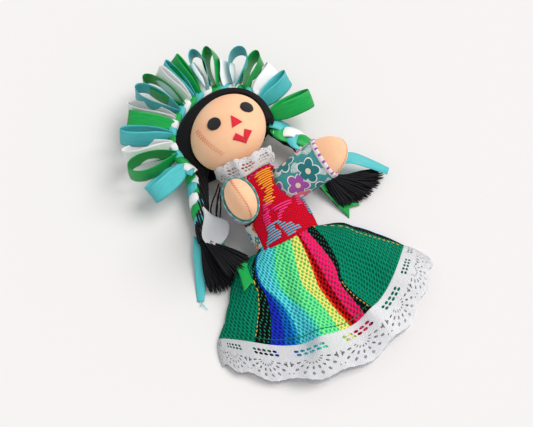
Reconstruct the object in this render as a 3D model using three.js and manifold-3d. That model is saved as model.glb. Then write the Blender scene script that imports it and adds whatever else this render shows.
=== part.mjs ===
// A small traditional cloth doll lying on its back: stuffed head, torso, arms and legs, a handwoven
// bodice front and striped skirt, lace at neck and hem, yarn hair and a crown of satin ribbon loops.
// Millimetres. X runs to the doll's left, Y towards the crown of its head, Z up and out of its chest.
// The origin is on the back of the blouse, where the doll rests on the table (Z = 0).
import * as THREE from "three";
import { mergeVertices } from "three/addons/utils/BufferGeometryUtils.js";
import Module from "manifold-3d";

const wasm = await Module();
wasm.setup();

// Clearances and stock thicknesses
const GAP = 0.3; // between two pieces that lie on each other
const CLOTH = 0.8; // printed cotton, handwoven cloth and lace, with their nap
const FELT = 0.6; // eyes, nose and mouth
const SATIN = 0.5; // doubled satin ribbon
const RIBBON_WIDTH = 9.5; // three-eighths inch satin ribbon
const JOINT_GAP = 0.45; // round a stuffed limb's seat

// Torso
const WAIST_Y = -15.5;
const SHOULDER_Y = 12;
const NECK_BASE_Y = 28.5;
const TORSO_BOTTOM_Y = -27;
const WAIST_WIDTH = 31;
const SHOULDER_WIDTH = 29;
const HIP_WIDTH = 27;
const NECK_SEAT_WIDTH = 13;
const TORSO_DEPTH = 18.6;
const TORSO_FLAT = 0.5; // how deep the stuffing is pressed flat by the table

// Head and neck
const HEAD_LONG = 44; // across the fullest part, from the right jaw to the left temple
const HEAD_SHORT = 36.4;
const HEAD_DEPTH = 31;
const HEAD_LEAN = 33; // degrees from X to the fullest part
const HEAD_X = -1.5;
const HEAD_Y = 48.5;
const HEAD_Z = 18.6;
const NECK_DIAMETER = 11;
const NECK_LENGTH = 8;
const NECK_Z = 14;

// Hair and crown
const HAIR_WIDTH = 51;
const HAIR_HEIGHT = 50.4;
const HAIR_SHIFT = -1.6; // the cap sits a little towards the doll's right
const HAIR_DEPTH = 27.4;
const HAIR_FRONT_Z = 23;
const HAIR_NAPE_Y = 38.6;
const HAIR_NAPE_SLOPE = 0.2; // the cap comes lower on the doll's right
const CROWN_THICKNESS = 4.4;
const CROWN_Z = 15;
const CROWN_RIGHT_END = -116; // degrees round the head, 0 at its top, positive to the doll's left
const CROWN_LEFT_END = 62;

// Face pieces
const FACE_X = 0.75; // midway between the eyes
const FACE_Y = 49.75;
const FACE_TILT = 6.8; // degrees by which the face is set askew on the head
const EYE_DIAMETER = 6.8;
const EYE_SPACING = 19.4;
const NOSE_WIDTH = 6;
const NOSE_HEIGHT = 5.8;
const NOSE_DROP = 4; // from the eyes to the middle of the nose
const MOUTH_WIDTH = 11.2;
const MOUTH_HEIGHT = 5.8;
const MOUTH_DROP = 12.9;
const MOUTH_SHIFT = -0.5;

// Arms and sleeves
const SHOULDER_X = 13.6;
const SHOULDER_Z = 13.4;
const SLEEVE_THICK = 16;
const SLEEVE_BROAD = 22.4;
const SLEEVE_LENGTH = 24;
const ARM_LENGTH = 36; // shoulder centre to finger end
const RIGHT_ARM_AIM = new THREE.Vector3(-0.095, -0.3, 0.95);
const LEFT_ARM_AIM = new THREE.Vector3(0.875, -0.01, 0.484);
const RIGHT_ARM_TRAVEL = 20; // degrees outwards from rest
const LEFT_ARM_TRAVEL = 50; // degrees upwards from rest

// Legs
const LEG_X = 7.6;
const LEG_BROAD = 11;
const LEG_THICK = 8.6;
const LEG_LENGTH = 35;
const LEG_Z = 5.7;

// Bodice front
const BODICE_TOP_Y = 22.5;
const BODICE_TOP_WIDTH = 19;
const BODICE_BOTTOM_WIDTH = 30;
const BODICE_LAP = 2; // how far the bodice hangs over the skirt's gathers

// Skirt and its lace
const SKIRT_CENTRE_Y = -14; // the fan's centre
const SKIRT_RADIUS = 55.3;
const SKIRT_CORNER = 4.2; // how much farther the hem's corners reach than its middle
const SKIRT_ANGLE = { right: 60.5, left: 62 }; // from the middle to each flank, at the hem
const SKIRT_FLARE = { right: 0.42, left: 0.66 }; // degrees that a flank opens per mm towards the waist
const SKIRT_HEM_HEIGHT = 9.6;
const LACE_WIDTH = 15.2;
const LACE_SKEW = 3; // the lace is spread wider on the doll's left
const LACE_ROUNDING = 7; // degrees that the lace's corners are rounded off
const LACE_EDGE_HEIGHT = 6.4;

// Neck lace
const COLLAR_HALF_WIDTH = 14;
const COLLAR_HEIGHT = 6.2;
const COLLAR_FRILL = 0.7;

// Braids
const BRAID_DIAMETER = 9.6;
const BRAID_END_DIAMETER = 8;
const TIE_LENGTH = 2.6;
const TASSEL_LENGTH = 24;
const TAIL_WIDTH = 5.5;

const DEG = Math.PI / 180;
const doll = new THREE.Group();
doll.name = "rag_doll";

// Materials
const finish = (color, roughness) => new THREE.MeshStandardMaterial({ color, roughness, metalness: 0 });
const skinCotton = finish(0xf6c096, 0.9);
const yarnBlack = finish(0x1a1a1f, 0.95);
const feltBlack = finish(0x16161a, 0.95);
const feltRed = finish(0xe0203c, 0.9);
const printedCotton = finish(0xd8dedc, 0.9);
const wovenRed = finish(0xcf1434, 0.9);
const wovenGreen = finish(0x0c8f62, 0.9);
const laceWhite = finish(0xf0f0f6, 0.9);
const satin = {
  teal: finish(0x28a0a6, 0.35),
  green: finish(0x12a548, 0.35),
  white: finish(0xe8efef, 0.4),
};

// A closed three.js geometry as a solid that can be cut and joined.
function solid(geometry) {
  const positions = geometry.index ? geometry.toNonIndexed() : geometry;
  const bare = new THREE.BufferGeometry().setAttribute("position", positions.getAttribute("position"));
  const merged = mergeVertices(bare, 1e-4);
  return new wasm.Manifold(
    new wasm.Mesh({
      numProp: 3,
      vertProperties: new Float32Array(merged.getAttribute("position").array),
      triVerts: new Uint32Array(merged.index.array),
    }),
  );
}

// A named mesh of the doll, from a solid.
function addPiece(name, body, material, parent = doll) {
  const mesh = body.getMesh();
  const positions = new Float32Array(mesh.numVert * 3);
  for (let i = 0; i < mesh.numVert; i += 1) {
    for (let k = 0; k < 3; k += 1) positions[3 * i + k] = mesh.vertProperties[mesh.numProp * i + k];
  }
  const geometry = new THREE.BufferGeometry();
  geometry.setAttribute("position", new THREE.BufferAttribute(positions, 3));
  geometry.setIndex(new THREE.BufferAttribute(new Uint32Array(mesh.triVerts), 1));
  geometry.computeVertexNormals();
  const piece = new THREE.Mesh(geometry, material);
  piece.name = name;
  parent.add(piece);
  return piece;
}

// Rings of points, each with the same count, skinned into one closed body.
function loft(rings, closedLoop = false) {
  const count = rings[0].length;
  const positions = rings.flat().flatMap((p) => [p.x, p.y, p.z]);
  const index = [];
  const spans = closedLoop ? rings.length : rings.length - 1;
  for (let i = 0; i < spans; i += 1) {
    const next = (i + 1) % rings.length;
    for (let j = 0; j < count; j += 1) {
      const k = (j + 1) % count;
      index.push(i * count + j, i * count + k, next * count + k);
      index.push(i * count + j, next * count + k, next * count + j);
    }
  }
  if (!closedLoop) {
    for (let j = 1; j < count - 1; j += 1) {
      index.push(0, j + 1, j);
      const last = (rings.length - 1) * count;
      index.push(last, last + j, last + j + 1);
    }
  }
  const geometry = new THREE.BufferGeometry();
  geometry.setAttribute("position", new THREE.BufferAttribute(new Float32Array(positions), 3));
  geometry.setIndex(index);
  const body = solid(geometry);
  if (body.volume() > 0) return body;
  for (let i = 0; i < index.length; i += 3) [index[i + 1], index[i + 2]] = [index[i + 2], index[i + 1]];
  geometry.setIndex(index);
  return solid(geometry);
}

function ellipsoid(centre, half, around = 24, along = 16) {
  const geometry = new THREE.SphereGeometry(1, around, along);
  geometry.scale(half.x, half.y, half.z);
  geometry.translate(centre.x, centre.y, centre.z);
  return solid(geometry);
}

function block(low, high) {
  const geometry = new THREE.BoxGeometry(high.x - low.x, high.y - low.y, high.z - low.z);
  geometry.translate((low.x + high.x) / 2, (low.y + high.y) / 2, (low.z + high.z) / 2);
  return solid(geometry);
}

const FAR = 300;
const vec = (x, y, z) => new THREE.Vector3(x, y, z);
const keepAbove = (body, z) => body.subtract(block(vec(-FAR, -FAR, z - FAR), vec(FAR, FAR, z)));
const keepBetween = (body, lowY, highY) =>
  body.intersect(block(vec(-FAR, lowY, -FAR), vec(FAR, highY, FAR)));

// An outline in the XY plane, raised from lowZ to highZ.
function prism(points, lowZ, highZ) {
  const shape = new THREE.Shape(points.map(([x, y]) => new THREE.Vector2(x, y)));
  const geometry = new THREE.ExtrudeGeometry(shape, { depth: highZ - lowZ, bevelEnabled: false });
  geometry.translate(0, 0, lowZ);
  return solid(geometry);
}

// Torso: one stuffed cotton bag, widest at waist and shoulders, drawn in to the neck.
const torsoCentreZ = TORSO_DEPTH / 2 + 2 * (GAP + CLOTH) / 2 - TORSO_FLAT;
const torsoStations = [
  { y: TORSO_BOTTOM_Y, width: HIP_WIDTH * 0.76, depth: 0.64 },
  { y: TORSO_BOTTOM_Y + 2.5, width: HIP_WIDTH * 0.95, depth: 0.85 },
  { y: WAIST_Y - 3, width: WAIST_WIDTH, depth: 1 },
  { y: (WAIST_Y + SHOULDER_Y) / 2, width: WAIST_WIDTH, depth: 1 },
  { y: SHOULDER_Y, width: SHOULDER_WIDTH, depth: 1 },
  { y: (SHOULDER_Y + NECK_BASE_Y) / 2 + 1, width: SHOULDER_WIDTH * 0.86, depth: 0.9 },
  { y: NECK_BASE_Y - 2.5, width: SHOULDER_WIDTH * 0.62, depth: 0.76 },
  { y: NECK_BASE_Y, width: NECK_SEAT_WIDTH, depth: 0.6 },
];
const TORSO_SIDES = 24;

function torsoRing({ y, width, depth }, offset, lengthen) {
  const halfWidth = width / 2 + offset;
  const halfDepth = (TORSO_DEPTH * depth) / 2 + offset;
  return Array.from({ length: TORSO_SIDES }, (_, j) => {
    const angle = (2 * Math.PI * j) / TORSO_SIDES;
    return vec(halfWidth * Math.cos(angle), y + lengthen, torsoCentreZ + halfDepth * Math.sin(angle));
  });
}

function torsoForm(offset) {
  const last = torsoStations.length - 1;
  return loft(
    torsoStations.map((station, i) => {
      const lengthen = i === 0 ? -offset : i === last ? offset : 0;
      return torsoRing(station, offset, lengthen);
    }),
  );
}

// Neck: a short stuffed stalk, round about the axis on which the head turns.
const neckProfile = [
  [0, 0],
  [NECK_DIAMETER / 2, 0],
  [NECK_DIAMETER / 2 - 0.4, NECK_LENGTH * 0.4],
  [NECK_DIAMETER / 2, NECK_LENGTH * 0.8],
  [NECK_DIAMETER / 2 - 1.6, NECK_LENGTH],
  [0, NECK_LENGTH],
];
function neckForm(offset) {
  const points = neckProfile.map(([r, y]) => {
    const grownRadius = r > 0 ? r + offset : 0;
    const grownY = y > 0 ? y + (y === NECK_LENGTH ? offset : 0) : -offset;
    return new THREE.Vector2(grownRadius, grownY);
  });
  const geometry = new THREE.LatheGeometry(points, 16);
  geometry.translate(0, NECK_BASE_Y + GAP, NECK_Z);
  return solid(geometry);
}

// Head: a stuffed bag, fuller at one jaw and the opposite temple, a little flattened front to back.
const headForm = (offset) =>
  ellipsoid(
    vec(0, 0, 0),
    vec(HEAD_LONG / 2 + offset, HEAD_SHORT / 2 + offset, HEAD_DEPTH / 2 + offset),
    24,
    16,
  )
    .rotate([0, 0, HEAD_LEAN])
    .translate([HEAD_X, HEAD_Y, HEAD_Z]);

// Arms: flat-sewn stuffed pads with a rounded hand, in kimono sleeves. Each has a rounded shoulder
// end that is turned about the axis on which the arm swings, so that it can move in its seat.
function armFrame(side) {
  const aim = (side < 0 ? RIGHT_ARM_AIM : LEFT_ARM_AIM).clone().normalize();
  const broad = vec(0, 1, 0).addScaledVector(aim, -aim.y).normalize();
  const thick = new THREE.Vector3().crossVectors(aim, broad).normalize();
  const centre = vec(side * SHOULDER_X, SHOULDER_Y - 1, SHOULDER_Z);
  return { aim, broad, thick, centre };
}

function limbForm(frame, stations, sides) {
  return loft(
    stations.map(({ along, halfBroad, halfThick }) =>
      Array.from({ length: sides }, (_, j) => {
        const angle = (2 * Math.PI * j) / sides;
        return frame.centre
          .clone()
          .addScaledVector(frame.aim, along)
          .addScaledVector(frame.broad, halfBroad * Math.cos(angle))
          .addScaledVector(frame.thick, halfThick * Math.sin(angle));
      }),
    ),
  );
}

// The shoulder's rounded end as stations, from its deepest point to the widest section.
function roundedEnd(halfBroad, halfThick, steps) {
  return Array.from({ length: steps }, (_, i) => {
    const angle = (Math.PI / 2) * ((i + 0.35) / steps);
    return {
      along: -halfThick * Math.cos(angle),
      halfBroad: halfBroad * Math.sin(angle),
      halfThick: halfThick * Math.sin(angle),
    };
  });
}

function sleeveForm(frame, offset) {
  const halfBroad = SLEEVE_BROAD / 2 + offset;
  const halfThick = SLEEVE_THICK / 2 + offset;
  return limbForm(
    frame,
    [
      ...roundedEnd(halfBroad, halfThick, 5),
      { along: 0.5, halfBroad, halfThick },
      { along: SLEEVE_LENGTH * 0.5, halfBroad, halfThick },
      { along: SLEEVE_LENGTH, halfBroad, halfThick },
    ],
    20,
  );
}

function armForm(frame, offset) {
  const halfBroad = SLEEVE_BROAD / 2 - CLOTH - GAP + offset;
  const halfThick = SLEEVE_THICK / 2 - CLOTH - GAP + offset;
  const handStart = SLEEVE_LENGTH - 2;
  const handLength = ARM_LENGTH - handStart + offset;
  const hand = [0.3, 0.55, 0.76, 0.9, 0.975].map((share) => ({
    along: handStart + handLength * share,
    halfBroad: halfBroad * Math.sqrt(1 - share * share),
    halfThick: halfThick * Math.sqrt(1 - share * share),
  }));
  return limbForm(
    frame,
    [
      ...roundedEnd(halfBroad, halfThick, 4),
      { along: 0.5, halfBroad, halfThick },
      { along: SLEEVE_LENGTH * 0.5, halfBroad: halfBroad * 0.97, halfThick: halfThick * 0.97 },
      { along: handStart, halfBroad, halfThick },
      ...hand,
    ],
    18,
  );
}

// The room that an arm needs at its shoulder, at the two ends of its travel.
function armRoom(side) {
  const rest = armFrame(side);
  const travel = side < 0 ? RIGHT_ARM_TRAVEL : LEFT_ARM_TRAVEL;
  const halfBroad = SLEEVE_BROAD / 2 + JOINT_GAP;
  const halfThick = SLEEVE_THICK / 2 + JOINT_GAP;
  const turn = new THREE.Quaternion().setFromAxisAngle(rest.broad, -travel * DEG);
  const raised = {
    ...rest,
    aim: rest.aim.clone().applyQuaternion(turn),
    thick: rest.thick.clone().applyQuaternion(turn),
  };
  const stations = [
    ...roundedEnd(halfBroad, halfThick, 3),
    { along: 0, halfBroad, halfThick },
    { along: ARM_LENGTH, halfBroad, halfThick },
  ];
  return limbForm(raised, stations, 14).add(limbForm(rest, stations, 14));
}

const armRooms = armRoom(-1).add(armRoom(1));

// Hair: a thick cap of laid yarn round the back and sides of the head.
const hairHalf = vec(HAIR_WIDTH / 2, HAIR_HEIGHT / 2, HAIR_DEPTH / 2);
const hairCentre = vec(HAIR_SHIFT, HEAD_Y + 0.8, HAIR_DEPTH / 2 - TORSO_FLAT);
const crownRadius = hairHalf.x + GAP + CROWN_THICKNESS / 2;

function ringPoint(degrees, radius, z) {
  return vec(
    hairCentre.x + radius * Math.sin(degrees * DEG),
    hairCentre.y + radius * Math.cos(degrees * DEG),
    z,
  );
}

// A round bar through a list of points, thick at its start and end as given.
function taperedBar(path, startRadius, endRadius, steps, sides) {
  const curve = new THREE.CatmullRomCurve3(path);
  const rings = [];
  const up = vec(0, 0, 1);
  for (let i = 0; i <= steps; i += 1) {
    const at = curve.getPoint(i / steps);
    const along = curve.getTangent(i / steps);
    const side = new THREE.Vector3().crossVectors(up, along).normalize();
    const lift = new THREE.Vector3().crossVectors(along, side).normalize();
    const radius = THREE.MathUtils.lerp(startRadius, endRadius, i / steps);
    rings.push(
      Array.from({ length: sides }, (_, j) => {
        const angle = (2 * Math.PI * j) / sides;
        return at
          .clone()
          .addScaledVector(side, radius * Math.cos(angle))
          .addScaledVector(lift, radius * Math.sin(angle));
      }),
    );
  }
  return loft(rings);
}

// A strip of ribbon along a path. Its face turns with the given broad direction.
function strip(path, broadAt, widthAt, thickness, steps) {
  const curve = new THREE.CatmullRomCurve3(path);
  const rings = [];
  for (let i = 0; i <= steps; i += 1) {
    const t = i / steps;
    const at = curve.getPoint(t);
    const along = curve.getTangent(t);
    const broad = broadAt(t, along).clone();
    broad.addScaledVector(along, -broad.dot(along)).normalize();
    const face = new THREE.Vector3().crossVectors(along, broad).normalize();
    const corners = [
      [-1, -1],
      [1, -1],
      [1, 1],
      [-1, 1],
    ];
    rings.push(
      corners.map(([b, f]) =>
        at
          .clone()
          .addScaledVector(broad, (b * widthAt(t)) / 2)
          .addScaledVector(face, (f * thickness) / 2),
      ),
    );
  }
  return loft(rings);
}

// Torso, neck and head
const neckHole = neckForm(GAP);
const torsoBody = keepAbove(torsoForm(0), CLOTH + GAP).subtract(armRooms);
addPiece("torso", torsoBody, skinCotton);
addPiece("neck", neckForm(0), skinCotton);
const headBody = headForm(0).subtract(neckHole);
addPiece("head", headBody, skinCotton);

// Face: felt pieces glued on the head's surface.
const faceLayer = headForm(GAP + FELT).subtract(headForm(GAP));
const faceFront = HEAD_Z + HEAD_DEPTH;

// An outline is given about the point midway between the eyes, before the face's tilt.
function facePiece(name, outline, material) {
  const shape = prism(outline, HEAD_Z + 2, faceFront).rotate([0, 0, FACE_TILT]).translate([FACE_X, FACE_Y, 0]);
  addPiece(name, faceLayer.intersect(shape), material);
}
function circle(x, radius, count) {
  return Array.from({ length: count }, (_, j) => {
    const angle = (2 * Math.PI * j) / count;
    return [x + radius * Math.cos(angle), radius * Math.sin(angle)];
  });
}
for (const [name, side] of [
  ["eye_right", -1],
  ["eye_left", 1],
]) {
  facePiece(name, circle((side * EYE_SPACING) / 2, EYE_DIAMETER / 2, 16), feltBlack);
}
facePiece(
  "nose",
  [
    [0, NOSE_HEIGHT / 2 - NOSE_DROP],
    [-NOSE_WIDTH / 2, -NOSE_HEIGHT / 2 - NOSE_DROP],
    [NOSE_WIDTH / 2, -NOSE_HEIGHT / 2 - NOSE_DROP],
  ],
  feltRed,
);
const mouthTop = MOUTH_HEIGHT / 2 - MOUTH_DROP;
const mouthBottom = mouthTop - MOUTH_HEIGHT;
const mouthSpan = (share) => MOUTH_SHIFT + MOUTH_WIDTH * share;
facePiece(
  "mouth",
  [
    [mouthSpan(-0.5), mouthTop - MOUTH_HEIGHT * 0.34],
    [mouthSpan(-0.23), mouthTop],
    [mouthSpan(0), mouthTop - MOUTH_HEIGHT * 0.56],
    [mouthSpan(0.21), mouthTop],
    [mouthSpan(0.5), mouthTop - MOUTH_HEIGHT * 0.34],
    [mouthSpan(0), mouthBottom],
  ],
  feltRed,
);

// Hair cap, open at the face and at the nape
const hairOutline = [
  [-FAR, HAIR_NAPE_Y - HAIR_NAPE_SLOPE * FAR],
  [FAR, HAIR_NAPE_Y + HAIR_NAPE_SLOPE * FAR],
  [FAR, FAR],
  [-FAR, FAR],
];
const hairShape = ellipsoid(hairCentre, hairHalf, 28, 16).intersect(prism(hairOutline, -FAR, FAR));
const hairCap = keepAbove(hairShape, 0)
  .subtract(headForm(GAP))
  .subtract(block(vec(-FAR, -FAR, HAIR_FRONT_Z), vec(FAR, FAR, FAR)))
  .subtract(neckForm(JOINT_GAP));
addPiece("hair_cap", hairCap, yarnBlack);

// Crown: a three-colour ribbon braid sewn round the hair
const crownSteps = 40;
const crownPath = Array.from({ length: crownSteps + 1 }, (_, i) => {
  const degrees = THREE.MathUtils.lerp(CROWN_RIGHT_END, CROWN_LEFT_END, i / crownSteps);
  return ringPoint(degrees, crownRadius, CROWN_Z);
});
addPiece("crown_braid", taperedBar(crownPath, CROWN_THICKNESS / 2, CROWN_THICKNESS / 2, crownSteps, 8), satin.teal);

// Ribbon loops in the crown, from the doll's right ear over the top to its left ear. Each stands
// on the crown at its own angle, with its own length, opening, twist about its length and lean.
const loops = [
  { at: -102.5, length: 25, opening: 8, twist: 66, lean: -7 },
  { at: -87.5, length: 25, opening: 6.5, twist: 16, lean: 4 },
  { at: -76.5, length: 24, opening: 5.4, twist: 24, lean: -6 },
  { at: -66, length: 24.5, opening: 4.6, twist: 18, lean: 6 },
  { at: -55, length: 24, opening: 6, twist: 34, lean: -2 },
  { at: -45, length: 25, opening: 4.4, twist: 16, lean: -8 },
  { at: -35.5, length: 24.5, opening: 7, twist: 6, lean: 3 },
  { at: -26.5, length: 25.5, opening: 5.6, twist: 4, lean: -3 },
  { at: -19, length: 22, opening: 2.8, twist: 8, lean: 4 },
  { at: -13.2, length: 23.5, opening: 2.8, twist: 8, lean: -2 },
  { at: -7.4, length: 22.5, opening: 2.6, twist: 6, lean: 4 },
  { at: -1.4, length: 18, opening: 2.2, twist: 4, lean: -6 },
  { at: 5.2, length: 23.5, opening: 4.8, twist: -4, lean: 2 },
  { at: 14.8, length: 23.5, opening: 5.4, twist: -8, lean: -2 },
  { at: 24, length: 15, opening: 3.6, twist: 0, lean: -8 },
  { at: 33.4, length: 22, opening: 6.6, twist: -6, lean: 2 },
  { at: 44.5, length: 22.5, opening: 6, twist: -10, lean: -2 },
  { at: 56, length: 17, opening: 6, twist: -16, lean: -8 },
  { at: 69, length: 20, opening: 6.4, twist: -30, lean: 2 },
  { at: 90, length: 22, opening: 9, twist: -62, lean: 2 },
];
const loopColours = ["teal", "green", "white"];
const loopRoot = (at) => (at < CROWN_LEFT_END + 3 ? crownRadius + CROWN_THICKNESS / 2 : hairHalf.x) + GAP;
const LOOP_STEPS = 16;
const LOOP_FOOT = 0.5; // half the distance between a loop's two ends

function ribbonLoop({ at, length, opening, twist, lean }) {
  const outwards = ringPoint(at, 1, 0).sub(ringPoint(at, 0, 0));
  outwards.multiplyScalar(Math.cos(lean * DEG)).add(vec(0, 0, Math.sin(lean * DEG)));
  const across = new THREE.Vector3().crossVectors(outwards, vec(0, 0, 1)).normalize();
  const upright = new THREE.Vector3().crossVectors(across, outwards).normalize();
  const openingWay = across.clone().applyAxisAngle(outwards, twist * DEG);
  const broadWay = upright.clone().applyAxisAngle(outwards, twist * DEG);
  const foot = ringPoint(at, loopRoot(at), CROWN_Z);
  const path = Array.from({ length: LOOP_STEPS + 1 }, (_, i) => {
    const t = i / LOOP_STEPS;
    const out = (length * (1 - Math.cos(2 * Math.PI * t))) / 2;
    const bulge = (opening / 2) * Math.sin(2 * Math.PI * t) * Math.sin(Math.PI * t) ** 1.2 * 1.25;
    const aside = LOOP_FOOT * Math.cos(Math.PI * t) + bulge;
    return foot.clone().addScaledVector(outwards, out).addScaledVector(openingWay, aside);
  });
  const width = (t) => RIBBON_WIDTH * (0.42 + 0.58 * Math.min(1, 1.6 * Math.sin(Math.PI * t)));
  return strip(path, () => broadWay, width, SATIN, LOOP_STEPS);
}

loops.forEach((loop, i) => {
  const name = "ribbon_loop_" + String(i + 1).padStart(2, "0");
  addPiece(name, ribbonLoop(loop), satin[loopColours[i % 3]]);
});

// Blouse: printed cotton round the torso, open at the shoulders, neck and waist
const blouseBody = keepBetween(
  keepAbove(torsoForm(GAP + CLOTH), 0).subtract(keepAbove(torsoForm(GAP), CLOTH)),
  WAIST_Y + GAP,
  NECK_BASE_Y - 2.5,
)
  .subtract(armRooms)
  .subtract(neckForm(JOINT_GAP));
addPiece("blouse", blouseBody, printedCotton);

// Bodice front: a straight piece of handwoven cloth laid over the blouse
const bodiceOutline = [
  [-BODICE_BOTTOM_WIDTH / 2, WAIST_Y - BODICE_LAP],
  [BODICE_BOTTOM_WIDTH / 2, WAIST_Y - BODICE_LAP],
  [BODICE_BOTTOM_WIDTH / 2, WAIST_Y + 10],
  [BODICE_TOP_WIDTH / 2, BODICE_TOP_Y],
  [-BODICE_TOP_WIDTH / 2, BODICE_TOP_Y],
  [-BODICE_BOTTOM_WIDTH / 2, WAIST_Y + 10],
];
const bodiceLayer = torsoForm(2 * (GAP + CLOTH)).subtract(torsoForm(2 * GAP + CLOTH));
const bodiceBody = bodiceLayer.intersect(prism(bodiceOutline, torsoCentreZ + 3, FAR)).subtract(armRooms);
addPiece("bodice_front", bodiceBody, wovenRed);

// Arms and sleeves
for (const [label, side] of [
  ["right", -1],
  ["left", 1],
]) {
  const frame = armFrame(side);
  addPiece("arm_" + label, armForm(frame, 0), skinCotton);
  addPiece("sleeve_" + label, sleeveForm(frame, 0).subtract(armForm(frame, GAP)), printedCotton);
}

// Legs: stuffed tubes under the skirt, turned a little outwards by their feet
function legForm(side) {
  const frame = {
    centre: vec(side * LEG_X, TORSO_BOTTOM_Y, LEG_Z),
    aim: vec(0, -1, 0),
    broad: vec(1, 0, 0),
    thick: vec(0, 0, 1),
  };
  const shares = [0, 0.05, 0.3, 0.6, 0.8, 0.94, 1];
  const swell = [0.42, 0.8, 1, 0.86, 0.94, 0.8, 0.45];
  const stations = shares.map((share, i) => ({
    along: 2.4 * GAP + LEG_LENGTH * share,
    halfBroad: (LEG_BROAD / 2) * swell[i],
    halfThick: (LEG_THICK / 2) * swell[i],
  }));
  return limbForm(frame, stations, 14);
}
addPiece("leg_right", legForm(-1), skinCotton);
addPiece("leg_left", legForm(1), skinCotton);

// Skirt: a wide tube of handwoven cloth, gathered at the waist and spread like a fan. Its back lies
// flat on the table and its front rises in a few broad folds.
const foldCrests = [
  { angle: -44, height: 2.2, spread: 11 },
  { angle: -8, height: 5, spread: 15 },
  { angle: 21, height: 3.2, spread: 7 },
  { angle: 43, height: 2.6, spread: 12 },
];

function foldHeight(angle) {
  return foldCrests.reduce(
    (sum, crest) => sum + crest.height * Math.exp(-(((angle - crest.angle) / crest.spread) ** 2)),
    0,
  );
}

const SKIRT_SIDES = 48;
const SKIRT_STEPS = 9;

// How far the fan opens to one side at a radius.
function flankAngle(side, radius) {
  const label = side < 0 ? "right" : "left";
  return SKIRT_ANGLE[label] + SKIRT_FLARE[label] * Math.max(0, SKIRT_RADIUS + SKIRT_CORNER - radius);
}

// A ring of the skirt or lace tube at a radius of the fan. The inset is the way in from its outside.
function fanRing({ radius, frontHeight, foldShare, inset, corner, rounding = 0 }) {
  return Array.from({ length: SKIRT_SIDES }, (_, j) => {
    const turn = (2 * Math.PI * j) / SKIRT_SIDES;
    const side = Math.cos(turn);
    const narrowing = rounding + (1.6 * inset) / (radius * DEG);
    const angle = (flankAngle(side, radius + corner) - narrowing) * side;
    const reach = radius + corner * Math.abs(side) ** 5;
    const rise = Math.max(0, Math.sin(turn));
    const height = (frontHeight + foldShare * foldHeight(angle)) * rise ** 0.8;
    const z = rise > 0 ? inset + Math.max(0, height - 2 * inset * rise ** 0.8) : inset;
    return vec(reach * Math.sin(angle * DEG), SKIRT_CENTRE_Y - reach * Math.cos(angle * DEG), z);
  });
}

function waistRing(offset) {
  return Array.from({ length: SKIRT_SIDES }, (_, j) => {
    const turn = (2 * Math.PI * j) / SKIRT_SIDES;
    const x = (WAIST_WIDTH / 2 + offset) * Math.cos(turn);
    return vec(x, WAIST_Y, torsoCentreZ + (TORSO_DEPTH / 2 + offset) * Math.sin(turn));
  });
}

const waistTop = torsoCentreZ + TORSO_DEPTH / 2;
function skirtRings(inset) {
  const waist = waistRing(GAP + CLOTH - inset);
  const rings = [waist];
  for (let i = 0; i <= SKIRT_STEPS; i += 1) {
    const s = i / SKIRT_STEPS;
    const radius = THREE.MathUtils.lerp(18, SKIRT_RADIUS, s);
    const frontHeight = THREE.MathUtils.lerp(waistTop, SKIRT_HEM_HEIGHT, s ** 0.85);
    const fan = fanRing({ radius, frontHeight, foldShare: s, inset, corner: SKIRT_CORNER * s });
    const blend = THREE.MathUtils.smoothstep(s, 0, 0.34);
    rings.push(
      fan.map((point, j) => {
        const start = waist[j].clone();
        start.y -= BODICE_LAP + GAP + 16 * s;
        return start.lerp(point, blend);
      }),
    );
  }
  return rings;
}

// A tube with a wall: its outside down, and its inside back up.
const walledTube = (outside, inside) => loft([...outside, ...inside.reverse()], true);
addPiece("skirt", keepAbove(walledTube(skirtRings(0), skirtRings(CLOTH)), 0), wovenGreen);
const skirtRoom = loft(skirtRings(-GAP));

// Hem lace: a band sewn on round the hem
function laceRings(inset) {
  const steps = 3;
  return Array.from({ length: steps + 1 }, (_, i) => {
    const s = i / steps;
    const height = THREE.MathUtils.lerp(SKIRT_HEM_HEIGHT, LACE_EDGE_HEIGHT, s);
    const ring = fanRing({
      radius: SKIRT_RADIUS + GAP,
      frontHeight: height,
      foldShare: 1 - 0.6 * s,
      inset,
      corner: SKIRT_CORNER * (1 - s),
      rounding: LACE_ROUNDING * s,
    });
    return ring.map((point) => {
      const out = vec(point.x, point.y - SKIRT_CENTRE_Y, 0);
      const skew = (LACE_SKEW * out.x) / out.length();
      return point.addScaledVector(out.normalize(), (LACE_WIDTH + skew) * s);
    });
  });
}
addPiece("skirt_lace", walledTube(laceRings(0), laceRings(CLOTH)), laceWhite);

// Neck lace: a frilled band over the shoulders below the chin
const COLLAR_STEPS = 36;
function collarRing(offsetOut, offsetUp, lift) {
  return Array.from({ length: COLLAR_STEPS }, (_, j) => {
    const turn = (2 * Math.PI * j) / COLLAR_STEPS;
    const frill = COLLAR_FRILL * Math.cos(9 * turn) * lift;
    const x = (COLLAR_HALF_WIDTH * 0.62 + offsetOut + frill) * Math.cos(turn);
    const z = NECK_Z + 0.5 + (TORSO_DEPTH * 0.46 + offsetOut + frill) * Math.sin(turn);
    return vec(x, NECK_BASE_Y - 5.4 + offsetUp, z);
  });
}
const collarOutside = [collarRing(1.6, 0, 0.3), collarRing(2.6, COLLAR_HEIGHT / 2, 1), collarRing(3.4, COLLAR_HEIGHT, 1)];
const collarInside = [
  collarRing(1.6 - CLOTH, 0, 0.3),
  collarRing(2.6 - CLOTH, COLLAR_HEIGHT / 2, 1),
  collarRing(3.4 - CLOTH, COLLAR_HEIGHT, 1),
];
const collarBody = keepAbove(walledTube(collarOutside, collarInside), 1)
  .subtract(torsoForm(2 * (GAP + CLOTH) + GAP))
  .subtract(armRooms)
  .subtract(headForm(JOINT_GAP));
addPiece("collar_lace", collarBody, laceWhite);

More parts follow.
